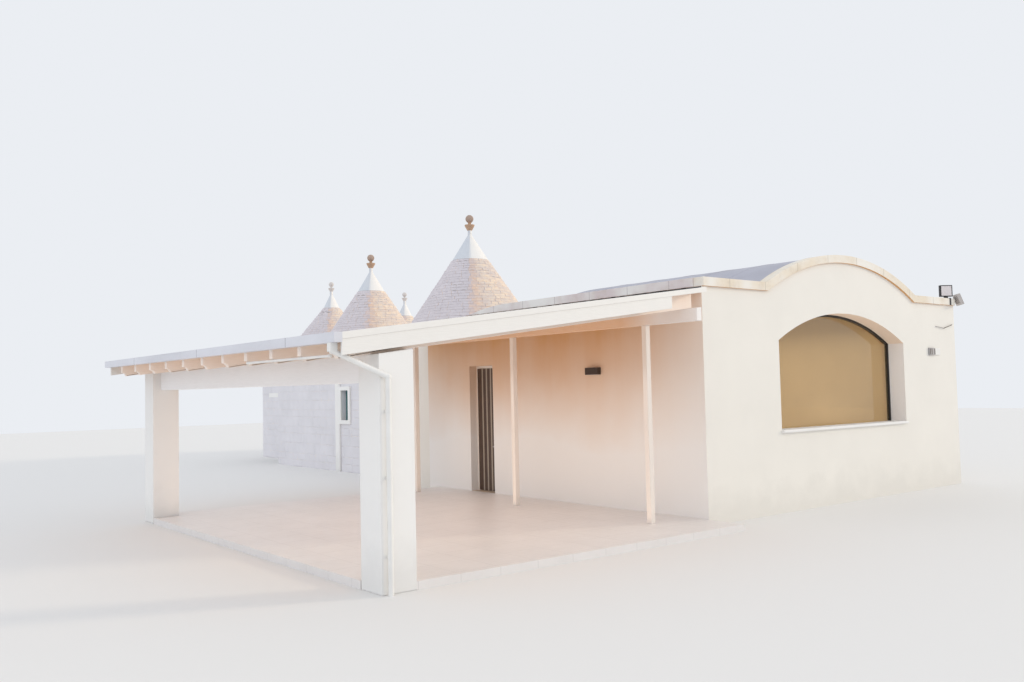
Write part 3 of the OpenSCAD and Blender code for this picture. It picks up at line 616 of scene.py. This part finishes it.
# Width of the rounding on the edges of CAD nodes
SOFT_EDGES = {
    0.012: ["porch_pillars", "white_trim", "door_canopy", "window_sill"],
    0.006: ["gable_coping", "side_kerbs", "outer_beam", "inner_beam", "slender_posts"],
    0.004: ["rafters", "barge_boards", "wall_light", "floodlights"],
}


def dress_nodes():
    for key, names in NODE_LOOKS.items():
        for name in names:
            nodes[name].data.materials.clear()
            nodes[name].data.materials.append(looks[key].mat)
    for width, names in SOFT_EDGES.items():
        for name in names:
            weld = nodes[name].modifiers.new("weld", "WELD")
            weld.merge_threshold = WELD_DISTANCE
            soft = nodes[name].modifiers.new("soft_edges", "BEVEL")
            soft.width = width
            soft.segments = SOFT_SEGMENTS
            soft.limit_method = "ANGLE"
            soft.angle_limit = SHARP_ANGLE

# Angle above which an edge stays sharp between smooth faces
SMOOTH_ANGLE = math.radians(35)


class Pieces:
    """Many small solids gathered into one mesh."""

    def __init__(self):
        self.points = []
        self.faces = []

    def solid(self, ring_low, ring_high):
        """A closed solid between two rings of the same number of points."""
        n = len(ring_low)
        base = len(self.points)
        self.points += [*ring_low, *ring_high]
        self.faces.append(tuple(base + i for i in reversed(range(n))))
        self.faces.append(tuple(base + n + i for i in range(n)))
        for i in range(n):
            j = (i + 1) % n
            self.faces.append((base + i, base + j, base + n + j, base + n + i))

    def block(self, low, high):
        (x0, y0, z0), (x1, y1, z1) = low, high
        plan = [(x0, y0), (x1, y0), (x1, y1), (x0, y1)]
        self.solid([(x, y, z0) for x, y in plan], [(x, y, z1) for x, y in plan])

    def along_y(self, outline, y0, y1):
        """A solid with an outline of X and Z between two Y."""
        self.solid([(x, y0, z) for x, z in outline], [(x, y1, z) for x, z in outline])

    def bar(self, start, end, radius, sides=16):
        """A round bar between two points."""
        start = Vector(start)
        end = Vector(end)
        turn = (end - start).to_track_quat("Z", "Y")
        angles = [2 * math.pi * k / sides for k in range(sides)]
        ring = [turn @ Vector((radius * math.cos(a), radius * math.sin(a), 0)) for a in angles]
        self.solid([start + p for p in ring], [end + p for p in ring])

    def turned(self, matrix):
        self.points = [matrix @ Vector(p) for p in self.points]
        return self

    def build(self, name, look, slot, body=HOUSE, bevel=0.0, smooth=False):
        """Make the mesh, give it its look, and let it ride on its body; its slot is not used."""
        mesh = bpy.data.meshes.new(name)
        mesh.from_pydata([tuple(p) for p in self.points], [], self.faces)
        work = bmesh.new()
        work.from_mesh(mesh)
        bmesh.ops.recalc_face_normals(work, faces=work.faces)
        if bevel:
            edges = list(work.edges)
            bmesh.ops.bevel(work, geom=edges, offset=bevel, segments=1, affect="EDGES", clamp_overlap=True)
        work.to_mesh(mesh)
        work.free()
        if smooth:
            mesh.polygons.foreach_set("use_smooth", [True] * len(mesh.polygons))
            mesh.set_sharp_from_angle(angle=SMOOTH_ANGLE)
        mesh.materials.append(looks[look].mat)
        piece = add_object(name, mesh)
        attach(piece, body)
        return piece


def polar(center, radius, angle, z):
    return (center[0] + radius * math.cos(angle), center[1] + radius * math.sin(angle), z)


# Least and most width of a stone, as a share of the usual width
WIDTHS = (0.55, 1.5)

# The cones' slabs: height, width and depth, joint, how far one stands out at most, and the
# share of a course's step by which its upper edge stands out
COURSE = 0.078
SLAB_WIDTH = 0.30
SLAB_DEPTH = 0.14
SLAB_GAP = 0.0035
SLAB_PROUD = 0.011
SLAB_LIP = 0.35
SLABS_LEAST = 8
COURSE_LEAST = 0.015
CONE_SEED = 40


def cone_course(pieces, rng, center, heights, radii):
    """One ring of slabs of uneven width between two heights, where the cone has two radii."""
    lower, upper = radii
    count = max(SLABS_LEAST, round(2 * math.pi * lower / SLAB_WIDTH))
    shares = [rng.uniform(*WIDTHS) for _ in range(count)]
    angle = rng.uniform(0, math.pi)
    for part in shares:
        sweep = 2 * math.pi * part / sum(shares)
        proud = rng.uniform(0.0, SLAB_PROUD)
        gap = SLAB_GAP / 2 / lower
        lip = upper + proud + SLAB_LIP * (lower - upper)
        sink = rng.uniform(0.001, 0.005)
        steps = [angle + gap, angle + sweep / 2, angle + sweep - gap]
        rings = []
        for radius, height in ((lower + proud, heights[0] + 0.001), (lip, heights[1] - sink)):
            ring = [polar(center, radius, a, height) for a in steps]
            ring += [polar(center, upper - SLAB_DEPTH, a, height) for a in reversed(steps)]
            rings.append(ring)
        pieces.solid(*rings)
        angle += sweep


def cone_slabs(index):
    """Rings of flat limestone slabs, each course stepped back from the one below it."""
    node = f"stone_cone_{index}"
    low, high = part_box(node)
    center = (low + high) / 2
    foot = (high.x - low.x) / 2
    top = [p for p in points_of(node) if abs(p.z - high.z) < 2 * ON_FACE]
    head = max(math.hypot(p.x - center.x, p.y - center.y) for p in top)
    rng = random.Random(CONE_SEED + index)
    pieces = Pieces()
    z = low.z
    while z < high.z - COURSE_LEAST:
        tall = min(COURSE * rng.uniform(0.8, 1.2), high.z - z)
        lower = foot + (head - foot) * (z - low.z) / (high.z - low.z)
        upper = foot + (head - foot) * (z + tall - low.z) / (high.z - low.z)
        cone_course(pieces, rng, center, (z, z + tall), (lower, upper))
        z += tall
    pieces.build(f"cone_slabs_{index}", "stone", "limestone", bevel=0.004)


# The trullo walls' stones: height of a course, width of a stone, least size, half a joint,
# how far a face stands out at most, how deep a stone is let in, and how rough its face is
WALL_COURSE = 0.26
WALL_STONE = 0.46
STONE_LEAST = 0.12
STONE_GAP = 0.0035
RELIEF = 0.014
LET_IN = 0.03
UNEVEN = 0.003
# How far out of a face a neighbour is looked for, and how near to it trim keeps stones off
NEIGHBOUR_AT = 0.03
TRIM_REACH = 0.25
# What may be left over at the top of a wall and at the end of a course
COURSE_SLACK = 0.06
SPAN_SLACK = 0.01
WALL_SEED = 80


def blocked(axis, outside, heights, boxes, reach):
    """Stretches across a wall's face that the boxes in front of it take at these heights."""
    across = 1 - axis
    taken = []
    for low, high in boxes:
        at_face = low[axis] - reach < outside < high[axis] + reach
        if at_face and low[2] < heights[1] and heights[0] < high[2]:
            taken.append((low[across], high[across]))
    return taken


def free_spans(span, taken):
    """What the taken stretches leave of a span."""
    spans = [span]
    for start, end in taken:
        rest = []
        for a, b in spans:
            rest += [(a, min(b, start)), (max(a, end), b)]
        spans = [(a, b) for a, b in rest if b - a > STONE_LEAST]
    return spans


def trim_boxes():
    """The white band, the small window's surround, the doorway and its canopy."""
    trim_low, trim_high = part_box("white_trim")
    frame_low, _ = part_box("small_window_frame")
    band_y = [p.y for p in points_of("white_trim") if p.z < trim_low.z + ON_FACE]
    band = (Vector((trim_low.x, min(band_y), trim_low.z)), trim_high)
    sill_z = frame_low.z - (frame_low.y - trim_low.y)
    surround = (Vector((trim_low.x, trim_low.y, sill_z)), trim_high)
    door_low, door_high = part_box("trullo_door_frame")
    doorway = (Vector((door_low.x, door_low.y, 0)), door_high)
    return [band, surround, doorway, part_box("door_canopy")]


def wall_stone(pieces, rng, side, span, heights):
    """One wall stone, let into the wall and standing a little proud of it."""
    axis, plane, sign = side
    out = plane + sign * rng.uniform(UNEVEN, RELIEF - 0.004)
    rings = []
    for depth in (plane - sign * LET_IN, out):
        ring = []
        for u, v in ((0, 0), (1, 0), (1, 1), (0, 1)):
            point = [0.0, 0.0, heights[v] + (-STONE_GAP if v else STONE_GAP)]
            point[1 - axis] = span[u] + (-STONE_GAP if u else STONE_GAP)
            point[axis] = depth + (sign * rng.uniform(-UNEVEN, UNEVEN) if depth == out else 0)
            ring.append(tuple(point))
        rings.append(ring)
    pieces.solid(*rings)


def wall_course(pieces, rng, side, ends, heights, taken):
    """Stones of uneven width from one end of a wall to the other, clear of what is taken."""
    start, end = ends
    while start < end - SPAN_SLACK:
        wide = min(WALL_STONE * rng.uniform(*WIDTHS), end - start)
        if end - start - wide < STONE_LEAST:
            wide = end - start
        for span in free_spans((start, start + wide), taken):
            wall_stone(pieces, rng, side, span, heights)
        start += wide


def wall_side(pieces, rng, box, side, others, holes):
    """Courses of stones up one side, given as its axis, its plane and which way it faces."""
    low, high = box
    axis, plane, sign = side
    across = 1 - axis
    z = low.z
    while z < high.z - COURSE_SLACK:
        tall = min(WALL_COURSE * rng.uniform(0.75, 1.25), high.z - z)
        if high.z - z - tall < STONE_LEAST:
            tall = high.z - z
        heights = (z, z + tall)
        taken = blocked(axis, plane + sign * NEIGHBOUR_AT, heights, others, 0.0)
        taken += blocked(axis, plane, heights, holes, TRIM_REACH)
        wall_course(pieces, rng, side, (low[across], high[across]), heights, taken)
        z += tall


def wall_stones(index):
    """Roughly squared stones in courses on the open sides of one trullo, under limewash."""
    low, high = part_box(f"trullo_walls_{index}")
    rng = random.Random(WALL_SEED + index)
    pieces = Pieces()
    others = [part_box(f"trullo_walls_{i}") for i in TRULLI if i != index] + [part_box("rear_wall")]
    holes = trim_boxes()
    for axis, plane, sign in ((0, low.x, -1), (0, high.x, 1), (1, low.y, -1), (1, high.y, 1)):
        # On the object's outermost faces stones would stand out of its box
        if sign < 0 or plane <= cad_box[1][axis] - RELIEF:
            wall_side(pieces, rng, (low, high), (axis, plane, sign), others, holes)
    pieces.build(f"wall_stones_{index}", "limewash", "limewash", bevel=0.009)


BOARD = 0.135
BOARD_GAP = 0.005
STOP_SLACK = 0.01


def roof_boards():
    """The porch roof's boards, laid along the house, with open joints seen from below."""
    low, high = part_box("porch_deck")
    corners = points_of("porch_deck")
    left = [p.z for p in corners if abs(p.x - low.x) < ON_FACE]
    thick = max(left) - min(left)
    rise = (high.z - low.z - thick) / (high.x - low.x)
    front = min(p.y for p in corners if abs(p.x - high.x) < ON_FACE)
    stop = max(p.x for p in corners if abs(p.y - low.y) < ON_FACE)
    pieces = Pieces()
    count = round((high.x - low.x) / BOARD)
    step = (high.x - low.x) / count
    for i in range(count):
        x0 = low.x + i * step + (BOARD_GAP / 2 if i else 0)
        x1 = low.x + (i + 1) * step - (BOARD_GAP / 2 if i < count - 1 else 0)
        z0 = low.z + (x0 - low.x) * rise
        z1 = low.z + (x1 - low.x) * rise
        outline = [(x0, z0), (x1, z1), (x1, z1 + thick), (x0, z0 + thick)]
        pieces.along_y(outline, low.y if x1 <= stop + STOP_SLACK else front, high.y)
    boards = pieces.build("roof_boards", "soffit", "white_timber", bevel=0.002)
    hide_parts("porch_deck")


# Seams of the roofing sheet: width and height of a lap, and strips on the vault and the porch
LAP = 0.09
LAP_LIFT = 0.005
VAULT_STRIPS = 6
PORCH_STRIPS = 9


def seams(pieces, box, line, strips):
    """Laps along a line of X and Z, at even distances between the ends of a box in Y."""
    low, high = box
    for i in range(1, strips):
        y = low.y + (high.y - low.y) * i / strips
        for (x0, z0), (x1, z1) in zip(line, line[1:]):
            pieces.along_y([(x0, z0), (x1, z1), (x1, z1 + LAP_LIFT), (x0, z0 + LAP_LIFT)], y, y + LAP)


def membrane_seams():
    """Lapped seams of the roofing sheet, across the vault and down the porch roof."""
    pieces = Pieces()
    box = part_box("vault_membrane")
    crest = {}
    for p in points_of("vault_membrane"):
        if p.y > box[1].y - ON_FACE:
            x = round(p.x, 4)
            crest[x] = max(p.z, crest.get(x, p.z))
    seams(pieces, box, sorted(crest.items()), VAULT_STRIPS)
    low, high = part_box("porch_membrane")
    foot = max(p.z for p in points_of("porch_membrane") if abs(p.x - low.x) < ON_FACE)
    seams(pieces, (low, high), [(low.x, foot), (high.x, high.z)], PORCH_STRIPS)
    pieces.build("membrane_seams", "membrane", "roof_membrane")


# The black strip that paints the shadow under the kerb, shaped as a bitumen flashing: thickness, length of
# a stroke, how ragged its top is, and its overlap below
SHADOW_FLASHING_T = 0.007
SHADOW_FLASHING_STEP = 0.11
SHADOW_FLASHING_RAGGED = 0.012
SHADOW_FLASHING_SINK = 0.004
SHADOW_FLASHING_SEED = 17


def wall_shadow_flashing():
    """The black upstand where the porch roof meets the wing, under the kerb's overhang: a painted shadow,
    shaped as bitumen flashing.
    """
    rng = random.Random(SHADOW_FLASHING_SEED)
    _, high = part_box("porch_membrane")
    kerb_low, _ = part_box("side_kerbs")
    ledge = min(p.z for p in points_of("side_kerbs") if abs(p.x - kerb_low.x) < ON_FACE)
    pieces = Pieces()
    y = 0.0
    while y < high.y - SHADOW_FLASHING_STEP:
        top = ledge - rng.uniform(0.0, SHADOW_FLASHING_RAGGED)
        pieces.block((-SHADOW_FLASHING_T, y, high.z - SHADOW_FLASHING_SINK), (0, y + SHADOW_FLASHING_STEP, top))
        y += SHADOW_FLASHING_STEP
    pieces.build("wall_shadow_flashing", "tar_shadow", "roof_membrane")


# Straps across the gutter: distance from a rafter's side, width, depth below the rim, and play
STRAP_IN = 0.03
STRAP_WIDE = 0.03
STRAP_FOOT = 0.007
STRAP_PLAY = 0.002


def gutter_fittings():
    """Strap hangers across the gutter, one at every rafter."""
    low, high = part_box("gutter")
    near_sides = sorted({round(p.y, 3) for p in points_of("rafters")})[0::2]
    pieces = Pieces()
    for y in near_sides:
        pieces.block((low.x + STRAP_PLAY, y + STRAP_IN, high.z - STRAP_FOOT),
                     (high.x - STRAP_PLAY, y + STRAP_IN + STRAP_WIDE, high.z - STRAP_PLAY))
    pieces.build("gutter_straps", "gutter", "gutter_metal", bevel=0.001)


# The tube in the rafters' tails: its place, radius and ends, and where its couplings begin
CONDUIT_X = -6.93
CONDUIT_Z = 2.703
CONDUIT_R = 0.017
CONDUIT_ENDS = (-0.42, 1.96)
COUPLINGS = (-0.40, 0.36, 1.14, 1.89)
COUPLING_LONG = 0.05
COUPLING_T = 0.0025
CONDUIT_SIDES = 20


def conduit():
    """A white tube that lies in the hollows of the near rafters' tails, with its couplings."""
    pieces = Pieces()
    tubes = [(*CONDUIT_ENDS, CONDUIT_R)]
    tubes += [(y, y + COUPLING_LONG, CONDUIT_R + COUPLING_T) for y in COUPLINGS]
    for start, end, radius in tubes:
        pieces.bar((CONDUIT_X, start, CONDUIT_Z), (CONDUIT_X, end, CONDUIT_Z), radius, CONDUIT_SIDES)
    pieces.build("rafter_conduit", "pipe", "gutter_metal", smooth=True)


# Clips of the standing pipe: heights, ring, half widths of stem and plate, and the plate's rim
CLIP_HEIGHTS = (0.42, 1.30, 2.05)
CLIP_TALL = 0.026
CLIP_T = 0.0045
CLIP_STEM = 0.011
PLATE_HALF = 0.03
PLATE_T = 0.004
PLATE_PAST = 0.006
CLIP_SIDES = 28


def pipe_clips():
    """Clips that hold the standing pipe to the near pillar."""
    foot = [p for p in points_of("downpipe") if p.z < ON_FACE]
    xs = [p.x for p in foot]
    ys = [p.y for p in foot]
    x = (min(xs) + max(xs)) / 2
    y = (min(ys) + max(ys)) / 2
    radius = (max(xs) - min(xs)) / 2 + CLIP_T
    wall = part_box("porch_pillars")[0].y
    pieces = Pieces()
    for z in CLIP_HEIGHTS:
        top = z + CLIP_TALL
        pieces.bar((x, y, z), (x, y, top), radius, CLIP_SIDES)
        pieces.block((x - CLIP_STEM, y, z), (x + CLIP_STEM, wall, top))
        pieces.block((x - PLATE_HALF, wall - PLATE_T, z - PLATE_PAST),
                     (x + PLATE_HALF, wall, top + PLATE_PAST))
    pieces.build("pipe_clips", "pipe", "gutter_metal")


# The entrance door: boards and their thickness, width of the strips, and how far they lie back
BOARDS = 5
STRIP = 0.05
BOARD_T = 0.012
STRIP_BACK = 0.005
DOOR_GAP = 0.001


def entrance_boards():
    """Dark boards with thin pale strips between them on the entrance door's outer face."""
    low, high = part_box("door_leaf")
    boards = Pieces()
    strips = Pieces()
    front = low.x - BOARD_T
    wide = (high.y - low.y) / BOARDS
    for i in range(BOARDS):
        last = i == BOARDS - 1
        y0 = low.y + i * wide
        y1 = low.y + (i + 1) * wide - (0 if last else STRIP)
        boards.block((front, y0 + DOOR_GAP, low.z), (low.x, y1 - DOOR_GAP, high.z))
        if not last:
            strips.block((front + STRIP_BACK, y1, low.z), (low.x, y1 + STRIP, high.z))
    boards.build("door_boards", "door", "dark_timber", "entrance_door", bevel=0.002)
    strips.build("door_strips", "door_strip", "dark_timber", "entrance_door")


TRULLO_BOARDS = 6
TRULLO_BOARD_T = 0.010
TRULLO_GAP = 0.002


def trullo_door_boards():
    """Upright painted boards on the trullo door's outer face."""
    low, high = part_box("trullo_door_leaf")
    pieces = Pieces()
    wide = (high.y - low.y) / TRULLO_BOARDS
    for i in range(TRULLO_BOARDS):
        pieces.block((low.x - TRULLO_BOARD_T, low.y + i * wide + TRULLO_GAP, low.z),
                     (low.x, low.y + (i + 1) * wide - TRULLO_GAP, high.z))
    pieces.build("trullo_door_boards", "teal", "teal_paint", "trullo_door", bevel=0.003)


# Handles: their place on a leaf, then the rose, the stem, the lever and the keyhole's plate
HANDLE_UP = 0.95
HANDLE_IN = 0.055
ROSE_R = 0.024
ROSE_T = 0.008
STEM_OUT = 0.045
STEM_R = 0.009
LEVER_OUT = 0.040
LEVER_R = 0.0085
LEVER_REACH = 0.115
KEY_DOWN = 0.12
KEY_R = 0.018
KEY_T = 0.006
SIDES = 24


def lever_handle(leaf, body, standoff):
    """A rose, a stem and a lever, over a keyhole's plate, on the boards of a leaf."""
    low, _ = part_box(leaf)
    y = low.y + HANDLE_IN
    z = low.z + HANDLE_UP
    key_z = z - KEY_DOWN
    face = low.x - standoff
    lever_x = face - LEVER_OUT
    pieces = Pieces()
    pieces.bar((face, y, z), (face - ROSE_T, y, z), ROSE_R, SIDES)
    pieces.bar((face - ROSE_T, y, z), (face - STEM_OUT, y, z), STEM_R)
    pieces.bar((lever_x, y - 0.008, z), (lever_x, y + LEVER_REACH, z), LEVER_R)
    pieces.bar((face, y, key_z), (face - KEY_T, y, key_z), KEY_R, SIDES)
    pieces.build(f"{leaf}_handle", "steel", "dark_frame", body, bevel=0.001, smooth=True)


# Half width of the small window's bars, and how far they stand out of the pane
BAR_HALF = 0.011
BAR_OUT = 0.008


def small_window_bars():
    """The bars that divide the small window's pane into four."""
    low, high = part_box("small_window_glass")
    middle = (low + high) / 2
    back = low.x - BAR_OUT
    front = high.x + BAR_OUT
    pieces = Pieces()
    pieces.block((back, middle.y - BAR_HALF, low.z), (front, middle.y + BAR_HALF, high.z))
    pieces.block((back, low.y, middle.z - BAR_HALF), (front, high.y, middle.z + BAR_HALF))
    pieces.build("small_window_bars", "teal", "teal_paint", bevel=0.002)


# Boxes on the gable: X and Z of two corners, and how far they stand out
LEFT_BOX = ((7.31, 2.80), (7.52, 2.955), 0.034)
RIGHT_BOX = ((7.555, 2.805), (7.78, 2.95), 0.03)
SLOTS_X = (7.335, 7.40, 7.525)
SLOT_WIDE = 0.022
SLOT_Z = (2.815, 2.94)
SLOT_OUT = 0.036
# The wire: X and Z of its ends and bend, its distance from the wall, and its radius
WIRE = ((7.66, 3.42), (8.0, 3.39), (8.37, 3.47))
WIRE_OUT = 0.02
WIRE_R = 0.007
# The pins that hold it: X, Z, length and radius
WIRE_PINS = ((7.665, 3.42, 0.02, 0.007), (8.365, 3.469, 0.02, 0.007), (8.0, 3.39, 0.027, 0.009))


def on_gable(boxes, wire=(), pins=()):
    """Boxes, a stretch of wire and pins that stand on the gable's face."""
    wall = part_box("front_gable_wall")[0].y
    pieces = Pieces()
    for (x0, z0), (x1, z1), out in boxes:
        pieces.block((x0, wall - out, z0), (x1, wall, z1))
    for (x0, z0), (x1, z1) in zip(wire, wire[1:]):
        pieces.bar((x0, wall - WIRE_OUT, z0), (x1, wall - WIRE_OUT, z1), WIRE_R)
    for x, z, out, radius in pins:
        pieces.bar((x, wall - out, z), (x, wall, z), radius)
    return pieces


def gable_fittings():
    """A small service box and a bent wire bracket on the gable."""
    slots = [((x, SLOT_Z[0]), (x + SLOT_WIDE, SLOT_Z[1]), SLOT_OUT) for x in SLOTS_X]
    grey = on_gable([LEFT_BOX], WIRE[:2], WIRE_PINS[:1])
    grey.build("service_box_left", "grey", "dark_frame", bevel=0.002)
    dark = on_gable(slots, WIRE[1:], WIRE_PINS[1:])
    dark.build("service_box_slots", "brown", "dark_frame")
    white = on_gable([RIGHT_BOX])
    white.build("service_box_right", "pipe", "gutter_metal", bevel=0.006)


# The floodlights, as in the CAD: size, and for each its place, tilt and turn in degrees
LAMP_SIZE = (0.27, 0.07, 0.25)
LAMPS = (((8.29, 0.05, 4.22), 0, -35), ((8.60, -0.07, 4.03), -20, 45))
# Width and thickness of the rim, thickness of the pane, and the cooling fins
RIM = 0.018
RIM_T = 0.006
PANE_T = 0.003
FINS = 7
FIN_MARGIN = 0.03
FIN_HALF_T = 0.003
FIN_DEEP = 0.012
FIN_HALF_TALL = 0.08


def lamp_rim():
    """A raised rim on a floodlight's front and cooling fins on its back, about its middle."""
    wide, deep, tall = LAMP_SIZE
    front = -deep / 2
    pieces = Pieces()
    for side in (-1, 1):
        x = side * (wide / 2 - RIM / 2)
        pieces.block((x - RIM / 2, front - RIM_T, -tall / 2), (x + RIM / 2, front, tall / 2))
        z = side * (tall / 2 - RIM / 2)
        pieces.block((RIM - wide / 2, front - RIM_T, z - RIM / 2), (wide / 2 - RIM, front, z + RIM / 2))
    for i in range(FINS):
        x = -wide / 2 + FIN_MARGIN + i * (wide - 2 * FIN_MARGIN) / (FINS - 1)
        pieces.block((x - FIN_HALF_T, deep / 2, -FIN_HALF_TALL),
                     (x + FIN_HALF_T, deep / 2 + FIN_DEEP, FIN_HALF_TALL))
    return pieces


def lamp_details():
    """A glass pane, a raised rim and cooling fins on each floodlight."""
    wide, deep, tall = LAMP_SIZE
    right = wide / 2 - RIM
    front = -deep / 2
    top = tall / 2 - RIM
    for number, (place, tilt, turn) in enumerate(LAMPS, start=1):
        spin = Matrix.Rotation(math.radians(turn), 4, "Z") @ Matrix.Rotation(math.radians(tilt), 4, "X")
        matrix = Matrix.Translation(place) @ spin
        pane = Pieces()
        pane.block((-right, front - PANE_T, -top), (right, front, top))
        pane.turned(matrix).build(f"lamp_pane_{number}", "lamp_glass", "window_glass")
        # The corner floodlight's rim in the pale grey painted as sunlit
        look = "dark" if number == 1 else "pale_sunlit_metal"
        lamp_rim().turned(matrix).build(f"lamp_rim_{number}", look, "dark_frame")


LENS_MARGIN = 0.012
LENS_T = 0.002


def wall_light_details():
    """The lenses above and below the wall light."""
    low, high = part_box("wall_light")
    lenses = Pieces()
    for z0, z1 in ((low.z - LENS_T, low.z), (high.z, high.z + LENS_T)):
        lenses.block((low.x + LENS_MARGIN, low.y + LENS_MARGIN, z0),
                     (high.x - LENS_MARGIN, high.y - LENS_MARGIN, z1))
    lenses.build("wall_light_lenses", "lamp_glass", "window_glass")


FLOOR_HALF = 60.0


def build_floor():
    mesh = bpy.data.meshes.new("studio_floor")
    signs = ((-1, -1), (1, -1), (1, 1), (-1, 1))
    mesh.from_pydata([(x * FLOOR_HALF, y * FLOOR_HALF, 0) for x, y in signs], [], [(0, 1, 2, 3)])
    mesh.materials.append(Look("studio_floor", FLOOR_COLOUR, 0.9).mat)
    add_object("studio_floor", mesh)


SKY = (0.93, 0.96, 1.0)
SKY_STRENGTH = 0.97
BACKDROP = (0.83, 0.855, 0.895)
# The sun and a fill from the left: the direction they come from, strength and spread in degrees
SUN_COLOUR = (1.0, 0.84, 0.62)
SUN_FROM = Vector((0.874, -0.400, 0.276))
SUN_STRENGTH = 1.04
SUN_SPREAD = 8
FILL_FROM = Vector((-1.0, -0.3, 0.3))
FILL_STRENGTH = 0.28
FILL_SPREAD = 60
# Area lights: name, place, size, power in watts, colour, and whether they shine up
AREA_LIGHTS = (
    ("porch_fill_up", (-3.6, 3.6, 0.14), (5.2, 7.2), 66, (1.0, 0.76, 0.55), True),
    ("porch_fill_down", (-3.4, 3.6, 2.60), (4.4, 7.0), 44, (0.88, 0.95, 1.0), False),
    ("room_fill", (4.25, 4.3, 3.5), (6.5, 6.5), 150, (1.0, 0.86, 0.66), False),
)
# The same for the light on the window's arch, its height over the sill, and how far in it is
WINDOW_LIGHT = ((1.6, 0.05), 8.0, (1.0, 0.90, 0.80), True)
WINDOW_LIGHT_UP = 0.05
WINDOW_LIGHT_IN = 0.12


def soft_sun(name, came_from, strength, spread, colour):
    sun = bpy.data.lights.new(name, "SUN")
    sun.energy = strength
    sun.angle = math.radians(spread)
    sun.color = colour
    add_object(name, sun).rotation_euler = came_from.to_track_quat("Z", "Y").to_euler()


def area_light(name, place, size, power, colour, up):
    """A flat light that only lights: camera, gloss and glass don't see it."""
    lamp = bpy.data.lights.new(name, "AREA")
    lamp.shape = "RECTANGLE"
    lamp.size, lamp.size_y = size
    lamp.energy = power
    lamp.color = colour
    holder = add_object(name, lamp)
    holder.location = place
    holder.rotation_euler = (math.pi if up else 0, 0, 0)
    holder.visible_camera = False
    holder.visible_transmission = False
    holder.visible_glossy = False


def window_light():
    """A small light at the foot of the arched window's reveal."""
    low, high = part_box("window_glass")
    sill_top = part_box("window_sill")[1].z
    place = ((low.x + high.x) / 2, low.y * WINDOW_LIGHT_IN, sill_top + WINDOW_LIGHT_UP)
    area_light("window_fill", place, *WINDOW_LIGHT)


def build_light():
    """A pale sky all round, a low warm sun, and warm fill under the porch and in the room."""
    soft_sun("sun", SUN_FROM, SUN_STRENGTH, SUN_SPREAD, SUN_COLOUR)
    soft_sun("left_fill", FILL_FROM, FILL_STRENGTH, FILL_SPREAD, SKY)
    window_light()
    for light in AREA_LIGHTS:
        area_light(*light)
    build_sky()


def build_sky():
    """The world lights the object evenly; camera, gloss and glass see a plain backdrop."""
    world = bpy.data.worlds.new("sky")
    world.use_nodes = True
    tree = world.node_tree
    light = tree.nodes["Background"]
    light.inputs["Color"].default_value = (*SKY, 1)
    light.inputs["Strength"].default_value = SKY_STRENGTH
    backdrop = tree.nodes.new("ShaderNodeBackground")
    backdrop.inputs["Color"].default_value = (*BACKDROP, 1)
    path = tree.nodes.new("ShaderNodeLightPath")
    seen = path.outputs["Is Camera Ray"]
    for ray in ("Is Glossy Ray", "Is Transmission Ray"):
        both = tree.nodes.new("ShaderNodeMath")
        both.operation = "MAXIMUM"
        tree.links.new(seen, both.inputs[0])
        tree.links.new(path.outputs[ray], both.inputs[1])
        seen = both.outputs["Value"]
    mix = tree.nodes.new("ShaderNodeMixShader")
    tree.links.new(seen, mix.inputs["Fac"])
    tree.links.new(light.outputs["Background"], mix.inputs[1])
    tree.links.new(backdrop.outputs["Background"], mix.inputs[2])
    tree.links.new(mix.outputs["Shader"], tree.nodes["World Output"].inputs["Surface"])
    bpy.context.scene.world = world


# The camera, solved from the photo's straight edges; angles in radians
CAMERA_PLACE = Vector((-11.80, -9.81, 2.29))
YAW = 0.6726
PITCH = 0.0514
ROLL = 0.0223
FOCAL_PX = 921.6
PHOTO_W = 1024
SENSOR = 36.0
FARTHEST = 300


def build_camera():
    """A camera whose axes come from its yaw and pitch and then its roll."""
    level = math.cos(PITCH)
    ahead = Vector((math.sin(YAW) * level, math.cos(YAW) * level, math.sin(PITCH)))
    right = Vector((math.cos(YAW), -math.sin(YAW), 0))
    up = right.cross(ahead)
    turn_cos = math.cos(ROLL)
    turn_sin = math.sin(ROLL)
    across = turn_cos * right - turn_sin * up
    upward = turn_sin * right + turn_cos * up
    camera = bpy.data.cameras.new("camera")
    camera.sensor_width = SENSOR
    camera.lens = FOCAL_PX / PHOTO_W * SENSOR
    camera.clip_end = FARTHEST
    holder = add_object("camera", camera)
    turn = Matrix((across, upward, -ahead)).transposed()
    holder.matrix_world = Matrix.Translation(CAMERA_PLACE) @ turn.to_4x4()
    bpy.context.scene.camera = holder


build_camera()
build_light()
build_floor()
dress_nodes()
for number in TRULLI:
    cone_slabs(number)
    wall_stones(number)
roof_boards()
membrane_seams()
wall_shadow_flashing()
gutter_fittings()
conduit()
pipe_clips()
entrance_boards()
lever_handle("door_leaf", "entrance_door", BOARD_T)
trullo_door_boards()
lever_handle("trullo_door_leaf", "trullo_door", TRULLO_BOARD_T)
small_window_bars()
gable_fittings()
lamp_details()
wall_light_details()

bpy.context.scene.view_settings.view_transform = "Standard"
